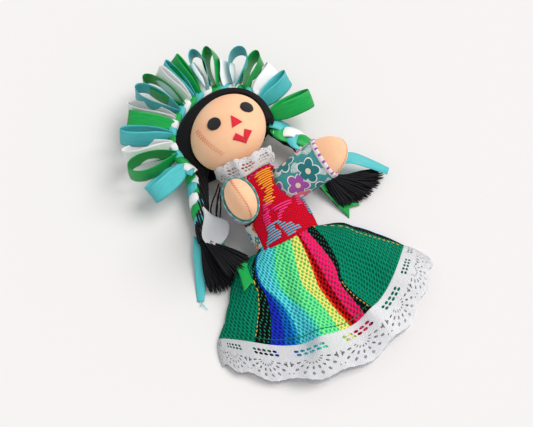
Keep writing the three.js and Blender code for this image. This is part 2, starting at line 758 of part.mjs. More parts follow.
// Braids, from the ends of the crown down beside the arms, with their ties, tassels and ribbon tails
const braids = {
  right: {
    path: [vec(-26.6, 37.6, 7.4), vec(-30, 29, 6.8), vec(-32.7, 20, 6), vec(-34.6, 12, 5.4)],
    end: vec(-35.8, 6, 5),
    aim: vec(3.4, -24, -1.4),
    fan: 12.4,
  },
  left: {
    path: [vec(24.4, 42.8, 9.6), vec(25.6, 37, 8.8), vec(30, 30.6, 7.6), vec(33.4, 21, 5.6)],
    end: vec(35.6, 12, 5),
    aim: vec(17, -17, -1.4),
    fan: 12,
  },
};

function drum(centre, aim, radius, length) {
  const half = aim.clone().normalize().multiplyScalar(length / 2);
  return taperedBar([centre.clone().sub(half), centre.clone().add(half)], radius, radius, 1, 12);
}

// A tassel spreads from its tie into a flat fan of yarn ends.
function tasselForm(start, tieAim, aim, fan) {
  const steps = 5;
  const rings = [];
  for (let i = 0; i <= steps; i += 1) {
    const s = i / steps;
    const facing = tieAim.clone().lerp(aim.clone().normalize(), Math.min(1, 2 * s)).normalize();
    const sideways = new THREE.Vector3().crossVectors(facing, vec(0, 0, 1)).normalize();
    const up = new THREE.Vector3().crossVectors(sideways, facing).normalize();
    const centre = start.clone().addScaledVector(aim, s);
    const halfWide = THREE.MathUtils.lerp(BRAID_END_DIAMETER / 2 - 0.8, fan, s ** 0.9);
    const halfHigh = THREE.MathUtils.lerp(BRAID_END_DIAMETER / 2 - 0.8, 2.9, s);
    rings.push(
      Array.from({ length: 14 }, (_, j) => {
        const angle = (2 * Math.PI * j) / 14;
        const droop = 1.6 * Math.cos(angle) ** 2 * s;
        return centre
          .clone()
          .addScaledVector(sideways, halfWide * Math.cos(angle))
          .addScaledVector(up, halfHigh * Math.sin(angle))
          .addScaledVector(facing, -2 * droop);
      }),
    );
  }
  return loft(rings);
}

for (const [label, braid] of Object.entries(braids)) {
  const tieAim = braid.end.clone().sub(braid.path[braid.path.length - 1]).normalize();
  const braidEnd = braid.end.clone().addScaledVector(tieAim, -(TIE_LENGTH / 2 + GAP));
  const bar = taperedBar([...braid.path, braidEnd], BRAID_DIAMETER / 2, BRAID_END_DIAMETER / 2, 8, 12);
  const clearOfHair = bar.subtract(ellipsoid(hairCentre, hairHalf.clone().addScalar(GAP), 28, 16));
  const crownRoom = taperedBar(crownPath, CROWN_THICKNESS / 2 + GAP, CROWN_THICKNESS / 2 + GAP, crownSteps, 8);
  addPiece("braid_" + label, keepAbove(clearOfHair.subtract(crownRoom), 0), yarnBlack);
  addPiece("braid_tie_" + label, drum(braid.end, tieAim, BRAID_END_DIAMETER / 2, TIE_LENGTH), yarnBlack);
  const aim = braid.aim.clone().normalize().multiplyScalar(TASSEL_LENGTH);
  const tasselStart = braid.end.clone().addScaledVector(tieAim, TIE_LENGTH / 2 + GAP);
  const tassel = keepAbove(tasselForm(tasselStart, tieAim, aim, braid.fan), 0).subtract(skirtRoom);
  addPiece("tassel_" + label, tassel, yarnBlack);
}

// Ribbon tails hang from the ties: their ends lie over or beside the tassels.
const level = (t, along) => new THREE.Vector3().crossVectors(along, vec(0, 0, 1));
const tails = [
  { name: "tail_teal_right", colour: "teal", width: TAIL_WIDTH, path: [[-42.7, 8, 3.4], [-44, -1, 1.5], [-46.8, -13, 0.8], [-50.6, -23, 0.8]] },
  { name: "tail_green_right", colour: "green", width: TAIL_WIDTH, path: [[-33.4, 5.6, 9.65], [-28.4, -7.2, 10.4], [-24.1, -19.1, 13.4], [-21.8, -29, 15.4]] },
  { name: "tail_white_right", colour: "white", width: RIBBON_WIDTH, path: [[-28.6, 15, 12.4], [-29.4, 9, 12], [-29.8, 2.5, 11.2], [-29.2, -2, 10.6]] },
  { name: "tail_teal_left", colour: "teal", width: TAIL_WIDTH, path: [[41.2, 9, 8.8], [49.2, 5.3, 8.3], [57.2, 2.3, 7.3], [65.4, -0.9, 5]] },
  { name: "tail_green_left", colour: "green", width: TAIL_WIDTH, path: [[30.8, 5.4, 4.4], [31.8, -2, 3], [33.6, -10, 1.4], [34.6, -17.5, 0.8]] },
];
for (const { name, colour, width, path } of tails) {
  const points = path.map(([x, y, z]) => vec(x, y, z));
  addPiece(name, strip(points, level, () => width, SATIN, 8), satin[colour]);
}

export default doll;
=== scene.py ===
import math
import random

import bpy
from mathutils import Matrix, Vector


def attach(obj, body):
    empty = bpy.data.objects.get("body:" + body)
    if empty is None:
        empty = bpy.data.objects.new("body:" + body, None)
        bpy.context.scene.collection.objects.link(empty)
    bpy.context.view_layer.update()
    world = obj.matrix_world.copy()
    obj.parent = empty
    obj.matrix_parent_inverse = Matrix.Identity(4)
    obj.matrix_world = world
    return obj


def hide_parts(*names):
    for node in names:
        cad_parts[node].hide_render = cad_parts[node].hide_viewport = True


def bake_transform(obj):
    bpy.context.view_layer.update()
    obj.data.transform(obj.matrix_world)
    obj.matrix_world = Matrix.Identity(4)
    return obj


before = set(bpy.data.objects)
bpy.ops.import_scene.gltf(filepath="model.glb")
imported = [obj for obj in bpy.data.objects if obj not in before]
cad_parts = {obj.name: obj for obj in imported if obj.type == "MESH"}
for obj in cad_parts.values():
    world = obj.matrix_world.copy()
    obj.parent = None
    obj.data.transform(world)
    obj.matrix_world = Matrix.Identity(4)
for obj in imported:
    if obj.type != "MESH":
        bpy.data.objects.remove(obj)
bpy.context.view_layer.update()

random.seed(11)

# A small rag doll on its back on a table: stuffed cotton body, felt face, yarn hair with two braids,
# a crown of satin ribbon loops, printed blouse, handwoven bodice and skirt, lace at neck and hem.
# Sizes below are in millimetres, in the frame's axes: X to the doll's left, Y to its crown, Z up.


# ---- Camera
# Held above the doll's feet, 65 degrees over the table and half a metre away, turned a quarter right.
camera_lens = bpy.data.cameras.new("camera")
camera_lens.lens = 69.97
camera_lens.sensor_width = 36.0
camera = bpy.data.objects.new("camera", camera_lens)
bpy.context.scene.collection.objects.link(camera)
CAMERA_RIGHT = Vector((0.89415, -0.44776, 0.0))
CAMERA_UP = Vector((0.40581, 0.81038, 0.42262))
CAMERA_BACK = Vector((-0.18923, -0.37788, 0.90631))
CAMERA_PLACE = Vector((-0.1012, -0.1941, 0.4815))
camera.matrix_world = Matrix(
    [(r, u, b, p) for r, u, b, p in zip(CAMERA_RIGHT, CAMERA_UP, CAMERA_BACK, CAMERA_PLACE)] + [(0, 0, 0, 1)]
)
bpy.context.scene.camera = camera


# ---- Table top and daylight
# A pale painted table. Soft daylight comes from a window at the upper right of the picture, and the
# bright room fills the shadows.
def linear(red, green, blue):
    """A colour from its 0 to 255 values."""
    parts = [value / 255.0 for value in (red, green, blue)]
    return tuple(p / 12.92 if p <= 0.04045 else ((p + 0.055) / 1.055) ** 2.4 for p in parts) + (1.0,)


class Value:
    """One result of a shader node. It can be added to, multiplied and compared like a number."""

    def __init__(self, node, output):
        self.node = node
        self.output = output

    def other(self, output):
        """Another result of the same node."""
        return Value(self.node, output)

    def maths(self, operation, *others):
        return add(self.node.id_data, "Math", dict(enumerate((self, *others))), operation=operation)

    def __add__(self, other):
        return self.maths("ADD", other)

    def __sub__(self, other):
        return self.maths("SUBTRACT", other)

    def __mul__(self, other):
        return self.maths("MULTIPLY", other)

    def __truediv__(self, other):
        return self.maths("DIVIDE", other)

    def __gt__(self, other):
        return self.maths("GREATER_THAN", other)

    def __lt__(self, other):
        return self.maths("LESS_THAN", other)

    def __abs__(self):
        return self.maths("ABSOLUTE")


def add(tree, kind, sockets=None, output=0, **settings):
    """One shader node, with its settings and with numbers or other nodes' results in its sockets."""
    node = tree.nodes.new("ShaderNode" + kind)
    for key, setting in settings.items():
        setattr(node, key, setting)
    for key, value in (sockets or {}).items():
        if isinstance(value, Value):
            tree.links.new(value.node.outputs[value.output], node.inputs[key])
        else:
            node.inputs[key].default_value = value
    return Value(node, output)


def new_material(name):
    material = bpy.data.materials.new(name)
    material.use_nodes = True
    tree = material.node_tree
    tree.nodes.clear()
    return material, tree


def coat(tree, through=0.0, **sockets):
    """The material's surface, joined to its output. Thin cloth lets some light through."""
    shown = add(tree, "BsdfPrincipled", {key.replace("_", " "): value for key, value in sockets.items()})
    if through:
        passed = add(tree, "BsdfTranslucent", {"Color": sockets["Base_Color"]})
        shown = add(tree, "MixShader", {0: through, 1: shown, 2: passed})
    add(tree, "OutputMaterial", {0: shown})


TABLE_HALF = 1.5
table_paint, tree = new_material("table_paint")
coat(tree, Base_Color=linear(239, 237, 236), Roughness=0.9)
table_mesh = bpy.data.meshes.new("table_top")
table_corners = [(TABLE_HALF * x, TABLE_HALF * y, 0) for x, y in ((-1, -1), (1, -1), (1, 1), (-1, 1))]
table_mesh.from_pydata(table_corners, [], [(0, 1, 2, 3)])
table_mesh.materials.append(table_paint)
table_top = bpy.data.objects.new("table_top", table_mesh)
bpy.context.scene.collection.objects.link(table_top)

window_light = bpy.data.lights.new("window_light", "SUN")
window_light.energy = 2.1
window_light.angle = math.radians(40)
window_light.color = (1.0, 0.985, 0.96)
window = bpy.data.objects.new("window_light", window_light)
window.rotation_euler = Vector((0.62, 0.0, 0.8)).to_track_quat("Z", "Y").to_euler()
bpy.context.scene.collection.objects.link(window)

room = bpy.data.worlds.new("room")
room.use_nodes = True
room.node_tree.nodes["Background"].inputs[0].default_value = (0.98, 0.985, 1.0, 1.0)
room.node_tree.nodes["Background"].inputs[1].default_value = 0.56
bpy.context.scene.world = room
bpy.context.scene.view_settings.view_transform = "Standard"


# ---- Stuffed cotton body: torso, neck and legs
# Plain skin-coloured cotton, sewn and filled. The torso and the legs are inside the clothes, and the
# torso's back is pressed flat by the table.
def lay_flat(mesh, name, uv):
    """Where each point lies on the flat cloth, for its weave or print."""
    layer = mesh.uv_layers.new(name=name)
    corners = [0] * len(mesh.loops)
    mesh.loops.foreach_get("vertex_index", corners)
    layer.data.foreach_set("uv", [value for corner in corners for value in uv[corner]])


def sew(name, points, faces, material, uv=None):
    """A smooth mesh object from points in millimetres."""
    mesh = bpy.data.meshes.new(name)
    mesh.from_pydata([(x * 0.001, y * 0.001, z * 0.001) for x, y, z in points], [], faces)
    if uv is not None:
        lay_flat(mesh, "flat", uv)
    mesh.polygons.foreach_set("use_smooth", [True] * len(mesh.polygons))
    mesh.materials.append(material)
    piece = bpy.data.objects.new(name, mesh)
    bpy.context.scene.collection.objects.link(piece)
    return piece


def sew_rings(name, rings, material, closed_ends=True):
    """A smooth skin round rings of points that each have the same count."""
    count = len(rings[0])
    last = (len(rings) - 1) * count
    faces = []
    for base in range(0, last, count):
        for j in range(count):
            k = (j + 1) % count
            faces.append((base + j, base + k, base + count + k, base + count + j))
    if closed_ends:
        faces.append(tuple(range(count))[::-1])
        faces.append(tuple(range(last, last + count)))
    return sew(name, sum(rings, []), faces, material)


def quads(rows, columns):
    """The faces of a sheet of points that is given row by row."""
    faces = []
    for i in range(rows):
        for j in range(columns):
            base = i * (columns + 1) + j
            faces.append((base, base + 1, base + columns + 2, base + columns + 1))
    return faces


def turns(count):
    """Angles all the way round, without the first again at the end."""
    return [2 * math.pi * j / count for j in range(count)]


def finish_piece(piece, body, slot, *nodes):
    """The piece moves with its body, and stands for its CAD nodes."""
    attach(piece, body)
    if nodes:
        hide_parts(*nodes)


def rounded(piece):
    modifier = piece.modifiers.new("rounding", "SUBSURF")
    modifier.levels = 1
    modifier.render_levels = 1
    return piece


def stuffed(name, rings, body, node):
    """A cotton bag that is filled and sewn shut."""
    piece = sew_rings(name, rings, skin_cotton)
    finish_piece(rounded(piece), body, "skin_cotton", node)
    return piece


def along_stops(stops, at):
    """The value between given stops."""
    for (a, first), (b, second) in zip(stops, stops[1:]):
        if at <= b:
            return first + (second - first) * max(0.0, at - a) / (b - a)
    return stops[-1][1]


def mix_colours(share, *colours):
    """From one colour to another. A colour is a node's result, or is given in values from 0 to 255."""
    first, second = (colour if isinstance(colour, Value) else linear(*colour) for colour in colours)
    return add(share.node.id_data, "Mix", {0: share, 6: first, 7: second}, 2, data_type="RGBA")


def relief(height, strength, depth):
    """A bump of the given depth in millimetres."""
    sockets = {"Height": height, "Strength": strength, "Distance": depth * 0.001}
    return add(height.node.id_data, "Bump", sockets)


def noise(place, scale, detail=2.0, output=0, **more):
    """Soft unevenness of a given scale, at a place on the piece."""
    sockets = {"Vector": place, "Scale": scale, "Detail": detail, **more}
    return add(place.node.id_data, "TexNoise", sockets, output)


def grain(tree, scale, detail=2.0, **more):
    """Unevenness in the round, fixed to the piece."""
    return noise(add(tree, "TexCoord", output="Object"), scale, detail, **more)


def cotton(name, light, shade):
    """Plain-woven cotton: a fine grid of threads, and soft uneven dye."""
    material, tree = new_material(name)
    place = add(tree, "TexCoord", output="Object")
    fluff = noise(place, 1500.0)
    threads = {"Vector": place, "Scale": 480.0, "Distortion": 0.6}
    warp = add(tree, "TexWave", threads, 1, bands_direction="X")
    weft = add(tree, "TexWave", threads, 1, bands_direction="Y")
    share = noise(place, 70.0, 3.0) * 1.5 + fluff * 0.5 - 0.7
    coat(
        tree,
        Base_Color=mix_colours(share, light, shade),
        Roughness=0.85,
        Sheen_Weight=0.1,
        Subsurface_Weight=0.15,
        Subsurface_Radius=(1.0, 0.4, 0.2),
        Subsurface_Scale=0.003,
        Normal=relief(warp * weft + fluff, 0.35, 0.05),
    )
    return material


skin_cotton = cotton("skin_cotton", (255, 206, 165), (251, 184, 140))
TORSO_DEPTH = 18.6
TORSO_MIDDLE = 9.9
TORSO_LOW, TORSO_HIGH = -27, 28.5
TORSO_WIDTHS = [
    (-27, 20.5), (-24.5, 25.65), (-18.5, 31), (-1.75, 31), (12, 29), (21.25, 24.9), (26, 18), (28.5, 13),
]
TORSO_FULLNESS = [
    (-27, 0.64), (-24.5, 0.85), (-18.5, 1), (-1.75, 1), (12, 1), (21.25, 0.9), (26, 0.76), (28.5, 0.6),
]


def torso_section(y):
    """Half width and half depth of the torso at a height."""
    return along_stops(TORSO_WIDTHS, y) / 2, TORSO_DEPTH * along_stops(TORSO_FULLNESS, y) / 2


def torso_point(x, y, offset):
    """The point on the front of the torso, grown by an offset."""
    half_width, half_depth = torso_section(y)
    share = min(0.995, abs(x) / (half_width + offset))
    return Vector((x, y, TORSO_MIDDLE + (half_depth + offset) * math.sqrt(1 - share * share)))


rings = []
for i in range(23):
    y = TORSO_LOW + (TORSO_HIGH - TORSO_LOW) * i / 22
    half_width, half_depth = torso_section(y)
    ring = []
    for turn in turns(32):
        ring.append((half_width * math.cos(turn), y, max(1.1, TORSO_MIDDLE + half_depth * math.sin(turn))))
    rings.append(ring)
torso = stuffed("torso_stuffed", rings, "torso", "torso")

NECK_LOW, NECK_LENGTH, NECK_MIDDLE = 28.8, 8, 14
rings = []
for share, radius in ((0, 5.3), (0.08, 5.5), (0.4, 5.1), (0.8, 5.5), (0.95, 4.6), (1, 3.9)):
    y = NECK_LOW + NECK_LENGTH * share
    rings.append([(radius * math.cos(turn), y, NECK_MIDDLE + radius * math.sin(turn)) for turn in turns(24)])
stuffed("neck_stuffed", rings, "torso", "neck")

HIP, LEG_LENGTH, LEG_ASIDE, LEG_MIDDLE = -27.72, 35, 7.6, 5.7
LEG_WIDTHS = (
    (0, 0.42), (0.03, 0.74), (0.08, 0.9), (0.3, 1), (0.6, 0.86),
    (0.8, 0.94), (0.92, 0.84), (0.98, 0.6), (1, 0.4),
)
LEG_HALF = (5.5, 4.3)
for side, label in ((-1, "right"), (1, "left")):
    rings = []
    for share, swell in LEG_WIDTHS:
        y = HIP - LEG_LENGTH * share
        ring = []
        for turn in turns(24):
            x = side * LEG_ASIDE + LEG_HALF[0] * swell * math.cos(turn)
            ring.append((x, y, LEG_MIDDLE + LEG_HALF[1] * swell * math.sin(turn)))
        rings.append(ring)
    stuffed("leg_stuffed_" + label, rings, "leg_" + label, "leg_" + label)


# ---- Head
# A stuffed cotton bag, fuller at the doll's right jaw and left temple. The closing seam runs down its
# right cheek in a zig-zag of orange thread.
HEAD_CENTRE = Vector((-1.5, 48.5, 18.6))
HEAD_LONG = 22.0
HEAD_SHORT = 18.2
HEAD_THICK = 15.5
HEAD_LEAN = math.radians(33)
lean_along = Vector((math.cos(HEAD_LEAN), math.sin(HEAD_LEAN), 0))
lean_across = Vector((-math.sin(HEAD_LEAN), math.cos(HEAD_LEAN), 0))


def head_point(direction, grow=0.0):
    """The point of the head in a direction given on a unit ball that the head is stretched from."""
    along = direction.dot(lean_along) * (HEAD_LONG + grow)
    across = direction.dot(lean_across) * (HEAD_SHORT + grow)
    up = Vector((0, 0, direction.z * (HEAD_THICK + grow)))
    return HEAD_CENTRE + lean_along * along + lean_across * across + up


def face_point(x, y, grow=0.0):
    """The point on the front of the head above a place."""
    place = Vector((x, y, 0)) - Vector((HEAD_CENTRE.x, HEAD_CENTRE.y, 0))
    along = place.dot(lean_along) / (HEAD_LONG + grow)
    across = place.dot(lean_across) / (HEAD_SHORT + grow)
    rise = math.sqrt(max(0.0, 1 - along * along - across * across))
    return Vector((x, y, HEAD_CENTRE.z + (HEAD_THICK + grow) * rise))


rings = []
for i in range(1, 36):
    tilt = math.pi * i / 36
    ring = []
    for turn in turns(56):
        ball = Vector((math.sin(tilt) * math.cos(turn), math.cos(tilt), math.sin(tilt) * math.sin(turn)))
        ring.append(head_point(ball))
    rings.append(ring)
stuffed("head_stuffed", rings, "head", "head")


def heading(line, i):
    """The direction of a line at one of its points."""
    return (line[min(i + 1, len(line) - 1)] - line[max(i - 1, 0)]).normalized()


def travelled_along(line):
    """How far along a line each of its points lies."""
    far = [0.0]
    for a, b in zip(line, line[1:]):
        far.append(far[-1] + (b - a).length)
    return far


def spin(name, paths, radius, material, sides=5, broad=None, flatten=1.0, thin_ends=False):
    """Round yarns along paths of points, as one mesh. U is the way along in millimetres, V is around."""
    points, faces, uv = [], [], []
    for path in paths:
        first = len(points)
        far = travelled_along(path)
        lift = None
        for i, at in enumerate(path):
            along = heading(path, i)
            if broad is not None:
                side = broad(at, along)
                side = (side - along * side.dot(along)).normalized()
                lift = along.cross(side)
            else:
                lift = along.orthogonal() if lift is None else lift - along * lift.dot(along)
                lift = lift.normalized()
                side = lift.cross(along)
            size = radius
            if thin_ends:
                size *= min(1.0, 0.35 + 4.0 * (1 - i / (len(path) - 1)))
            for j in range(sides + 1):
                turn = 2 * math.pi * j / sides
                points.append(at + side * (size * math.cos(turn)) + lift * (size * flatten * math.sin(turn)))
                uv.append((far[i], j / sides))
        faces += [tuple(first + corner for corner in face) for face in quads(len(path) - 1, sides)]
        faces.append(tuple(first + j for j in range(sides))[::-1])
        faces.append(tuple(len(points) - sides - 1 + j for j in range(sides)))
    return sew(name, points, faces, material, uv)


def thread(name, colour, shade, gloss=0.6):
    """Spun thread: a plain colour, with painted shade in the hollows between its plies."""
    material, tree = new_material(name)
    flat = add(tree, "SeparateXYZ", {0: add(tree, "UVMap")})
    ply = ((flat * 1.4 + flat.other(1)) * 2.0).maths("PINGPONG", 1.0)
    height = ply + grain(tree, 2600.0) * 0.8
    # Painted shade: the hollows between the plies take the darker colour.
    coat(
        tree,
        Base_Color=mix_colours(height * 0.7 - 0.1, shade, colour),
        Roughness=gloss,
        Specular_IOR_Level=0.2,
        Sheen_Weight=0.03,
        Normal=relief(height, 0.6, 0.12),
    )
    return material


seam_thread = thread("seam_thread", (244, 150, 104), (222, 104, 64))
SEAM_X = list(enumerate((-17.2, -16.8, -15.6, -13.7, -11.2)))
SEAM_Y = list(enumerate((51.7, 46.2, 41.8, 37.5, 33.9)))
stitches = []
for i in range(26):
    place = 4 * i / 25
    aside = 1.0 if i % 2 else -1.0
    x = along_stops(SEAM_X, place) + aside * 0.95
    y = along_stops(SEAM_Y, place) + aside * 0.3
    stitches.append(face_point(x, y, 0.05))
zigzag = spin("head_seam", [stitches], 0.13, seam_thread, 6)
finish_piece(zigzag, "head", "skin_cotton")


# ---- Felt face
# Eyes, nose and mouth cut from felt and glued on. The face is set a little askew on the head.
def felt(name, colour, shade):
    material, tree = new_material(name)
    lumps = grain(tree, 500.0)
    height = grain(tree, 2200.0, 5.0, Roughness=0.8) + lumps
    coat(
        tree,
        Base_Color=mix_colours(lumps, shade, colour),
        Roughness=0.95,
        Sheen_Weight=0.25,
        Normal=relief(height, 0.8, 0.15),
    )
    return material


def felt_patch(name, outline, material):
    """A felt shape 0.6 mm thick with a softened edge, laid on the face."""
    centre = Vector((sum(p[0] for p in outline), sum(p[1] for p in outline))) / len(outline)
    levels = [(1.0, 0.1), (1.01, 0.32), (0.985, 0.52), (0.94, 0.62), (0.75, 0.64), (0.5, 0.64), (0.25, 0.64)]
    rings = []
    for scale, height in levels:
        spots = [centre + (Vector(spot) - centre) * scale for spot in outline]
        rings.append([face_point(spot.x, spot.y, height) for spot in spots])
    return sew_rings(name, rings, material)


def cut_line(corners, step=0.35):
    """Points close together from corner to corner, up to the last one."""
    line = []
    for a, b in zip(corners, corners[1:]):
        count = max(1, round(math.dist(a, b) / step))
        line += [(a[0] + (b[0] - a[0]) * i / count, a[1] + (b[1] - a[1]) * i / count) for i in range(count)]
    return line


felt_black = felt("felt_black", (24, 24, 28), (12, 12, 15))
felt_red = felt("felt_red", (236, 36, 60), (216, 22, 46))
for label, x, y, radius in (("right", -8.9, 48.6, 3.45), ("left", 10.4, 50.9, 3.3)):
    rim = []
    for turn in turns(48):
        size = radius * (1 + 0.012 * math.sin(3 * turn + x) + 0.01 * math.sin(7 * turn))
        rim.append((x + size * math.cos(turn), y + size * math.sin(turn)))
    finish_piece(felt_patch("eye_felt_" + label, rim, felt_black), "head", "felt_black", "eye_" + label)
nose_corners = [(0.5, 48.6), (-1.7, 42.3), (4.3, 43.4), (0.5, 48.6)]
finish_piece(felt_patch("nose_felt", cut_line(nose_corners), felt_red), "head", "felt_red", "nose")

# The mouth is a V, so its felt is built from its outer edge to its middle line.
mouth_corners = [(-1.3, 39.4), (1.7, 36.5), (3.7, 39.9), (7.2, 38.4), (1.7, 33.9), (-4.0, 37.1), (-1.3, 39.4)]
mouth_middle = cut_line([(-2.6, 38.2), (-0.9, 37.5), (1.7, 35.2), (4.4, 37.6), (5.4, 39.1)])[:-1]
rings = []
for share, height in ((0.0, 0.1), (0.02, 0.34), (0.1, 0.54), (0.25, 0.63), (0.6, 0.64), (1.0, 0.64)):
    ring = []
    for x, y in cut_line(mouth_corners):
        nearest = min(mouth_middle, key=lambda spot: math.dist(spot, (x, y)))
        ring.append(face_point(x + (nearest[0] - x) * share, y + (nearest[1] - y) * share, height))
    rings.append(ring)
mouth = sew_rings("mouth_felt", rings, felt_red, closed_ends=False)
finish_piece(mouth, "head", "felt_red", "mouth")


# ---- Hair
# Black yarn laid from ear to ear over the head and sewn down: a thin band along the forehead and a
# thick one at the doll's right, with the back of the head covered down to the nape.
yarn_black = thread("yarn_black", (28, 28, 33), (5, 5, 7), 0.7)
HAIR_EDGE_TOP = Vector((-0.1, 0.92, 0.38)).normalized()
HAIR_EDGE_SIDE = Vector((0.98, 0.1, 0.16)).normalized()
# The hair's ends, in degrees from the top, and how much further they reach at the back.
HAIR_ENDS = (-121, 110)
HAIR_SPREAD = 44
# The share of the way across over which the yarn rolls up from the face.
HAIR_ROLL = 0.22
# How far the yarn stands out beyond the face's edge, by degrees from the top, positive to the left.
HAIR_WIDTHS = [
    (-180, 0.6), (-135, 0.8), (-122, 4.2), (-110, 7.8), (-85, 9.0), (-60, 8.6), (-40, 7.2), (-20, 5.4),
    (0, 4.2), (30, 3.1), (60, 2.9), (90, 3.6), (108, 4.6), (122, 1.2), (180, 0.6),
]


def hair_point(degrees, across, grow):
    """A point on the hair: across is 0 at the face's edge and 1 in the middle of the back."""
    turn = math.radians(degrees)
    rim = head_point(HAIR_EDGE_TOP * math.cos(turn) + HAIR_EDGE_SIDE * math.sin(turn))
    away = rim - HEAD_CENTRE
    reach = away.length
    away.normalize()
    width = along_stops(HAIR_WIDTHS, degrees) + grow
    if across < HAIR_ROLL:
        bend = math.pi / 2 * across / HAIR_ROLL
        at = rim + away * (width * math.sin(bend) + 0.2) + Vector((0, 0, -0.7 * width * (1 - math.cos(bend))))
    else:
        bend = math.pi / 2 * (across - HAIR_ROLL) / (1 - HAIR_ROLL)
        drop = 0.7 * width + (HEAD_THICK + 3 - 0.7 * width) * math.sin(bend)
        at = HEAD_CENTRE + away * ((reach + width + 0.2) * math.cos(bend)) + Vector((0, 0, -drop))
    at.z = max(at.z, 0.35)
    return at


def hair_ends(across):
    """The ends of the hair in degrees from the top: it spreads over the back of the head."""
    widen = HAIR_SPREAD * max(0.0, across - HAIR_ROLL) / (1 - HAIR_ROLL)
    return HAIR_ENDS[0] - widen, HAIR_ENDS[1] + widen


points = []
for i in range(25):
    across = (i / 24) ** 1.2
    low, high = hair_ends(across)
    points += [hair_point(low + (high - low) * j / 60, across, -0.3) for j in range(61)]
hair_base = sew("hair_base", points, quads(24, 60), yarn_black)
hair_base.modifiers.new("thickness", "SOLIDIFY").thickness = -0.0006
finish_piece(hair_base, "head", "yarn_black", "hair_cap")

strands = []
for k in range(84):
    across = 0.004 + 0.96 * (k / 83) ** 1.5
    low, high = hair_ends(across)
    low -= random.uniform(0, 4)
    high += random.uniform(0, 4)
    phase = random.uniform(0, 6.28)
    path = []
    for j in range(73):
        degrees = low + (high - low) * j / 72
        wander = 0.004 * math.sin(degrees / 17 + phase)
        grow = 0.18 + 0.12 * math.sin(degrees / 9 + 2 * phase)
        path.append(hair_point(degrees, max(0.002, across + wander), grow))
    strands.append(path)
hair_yarn = spin("hair_yarn", strands, 0.36, yarn_black, 5)
finish_piece(hair_yarn, "head", "yarn_black")


# ---- Crown braid
# Three ribbons, teal, green and white, folded narrow, plaited and sewn round the hair.
def satin(name, light, middle, painted_shade, through=0.14):
    """Satin ribbon: painted sheen in lighter streaks along its warp, fine ribs across, and painted shade
    where it turns away from view.
    """
    material, tree = new_material(name)
    flat = add(tree, "SeparateXYZ", {0: add(tree, "UVMap")})
    streaks = add(tree, "CombineXYZ", {0: flat * 0.05, 1: flat.other(1)})
    # Painted shade: the ribbon's colour darkens where it turns away from view.
    turned_away_shade = add(tree, "LayerWeight", {0: 0.45}, 1)
    # Painted sheen: lighter streaks along the warp.
    base = mix_colours(noise(streaks, 2.2, 3.0) * 1.3 - 0.35, middle, light)
    ribs = (flat * 15.0).maths("SINE")
    height = ribs * 0.12 + grain(tree, 170.0, Distortion=0.4)
    coat(
        tree,
        through,
        Base_Color=mix_colours(turned_away_shade * 0.45, base, painted_shade),
        Roughness=0.34,
        Specular_IOR_Level=0.45,
        Anisotropic=0.5,
        Normal=relief(height, 0.5, 0.5),
    )
    return material


COLOURS = ("teal", "green", "white")
# Each satin's middle colour is its own; the light colour is a painted sheen and the dark one painted shade.
satins = {
    "teal": satin("satin_teal", (122, 238, 240), (74, 206, 212), (14, 100, 110)),
    "green": satin("satin_green", (24, 224, 108), (0, 166, 70), (0, 88, 36)),
    "white": satin("satin_white", (254, 254, 254), (252, 253, 253), (236, 240, 243), 0.04),
}
CROWN_CENTRE = Vector((-1.6, 49.3, 0))
CROWN_RADIUS = 28.0
CROWN_HEIGHT = 15.0
CROWN_ENDS = (-116, 62)
PLAIT = 13.5
UP = Vector((0, 0, 1))


def crown_point(degrees, radius, z):
    turn = math.radians(degrees)
    return CROWN_CENTRE + Vector((radius * math.sin(turn), radius * math.cos(turn), z))


for k, colour in enumerate(COLOURS):
    path = []
    for i in range(421):
        turned = (CROWN_ENDS[1] - CROWN_ENDS[0]) * i / 420
        phase = 2 * math.pi * (CROWN_RADIUS * math.radians(turned) / PLAIT + k / 3)
        radius = CROWN_RADIUS + 0.9 * math.sin(phase)
        path.append(crown_point(CROWN_ENDS[0] + turned, radius, CROWN_HEIGHT + 0.2 + 1.0 * math.cos(phase)))
    ribbon = spin(
        "crown_ribbon_" + colour,
        [path],
        2.2,
        satins[colour],
        12,
        broad=lambda at, along: along.cross(UP),
        flatten=0.36,
    )
    finish_piece(ribbon, "head", "satin_" + colour)
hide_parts("crown_braid")


# ---- Ribbon loops of the crown
# Twenty loops of satin ribbon in turn teal, green and white, sewn in by their pinched feet. Each
# stands at its own angle: place round the head, length, opening, twist about its length, lean.
LOOPS = [
    (-105, 21, 11, 54, -6),
    (-88.5, 24, 11, 8, 4),
    (-76.5, 24, 7, 32, -6),
    (-66, 24.5, 5.6, 24, 6),
    (-53, 22.5, 8, 64, -2),
    (-45, 25, 5.4, 16, -8),
    (-35.5, 24.5, 8.6, 4, 3),
    (-26.5, 25.5, 7.6, 0, -3),
    (-19, 22.5, 3.6, 30, 4),
    (-13.2, 24, 3.4, 26, -2),
    (-7.4, 23, 3.0, 40, 4),
    (-1.4, 16.5, 4, 58, -6),
    (5.2, 22, 7.6, -10, 2),
    (14.8, 22.5, 6.6, -26, -2),
    (24, 15.5, 4.6, -58, -8),
    (33.4, 20.5, 9.4, -6, 2),
    (44.5, 20.5, 6.4, -16, -2),
    (56, 17.5, 6, -58, -8),
    (69, 20.5, 6, -32, 2),
    (90, 22.5, 10.5, -50, 2),
]
RIBBON_WIDTH = 9.5
# How far each loop's feet reach into the crown braid.
LOOP_FOOT = 2.4


def thicken(piece, thickness, offset=0.0):
    """Cloth's thickness in millimetres, about its middle or to one side of it."""
    wall = piece.modifiers.new("thickness", "SOLIDIFY")
    wall.thickness = thickness * 0.001
    wall.offset = offset


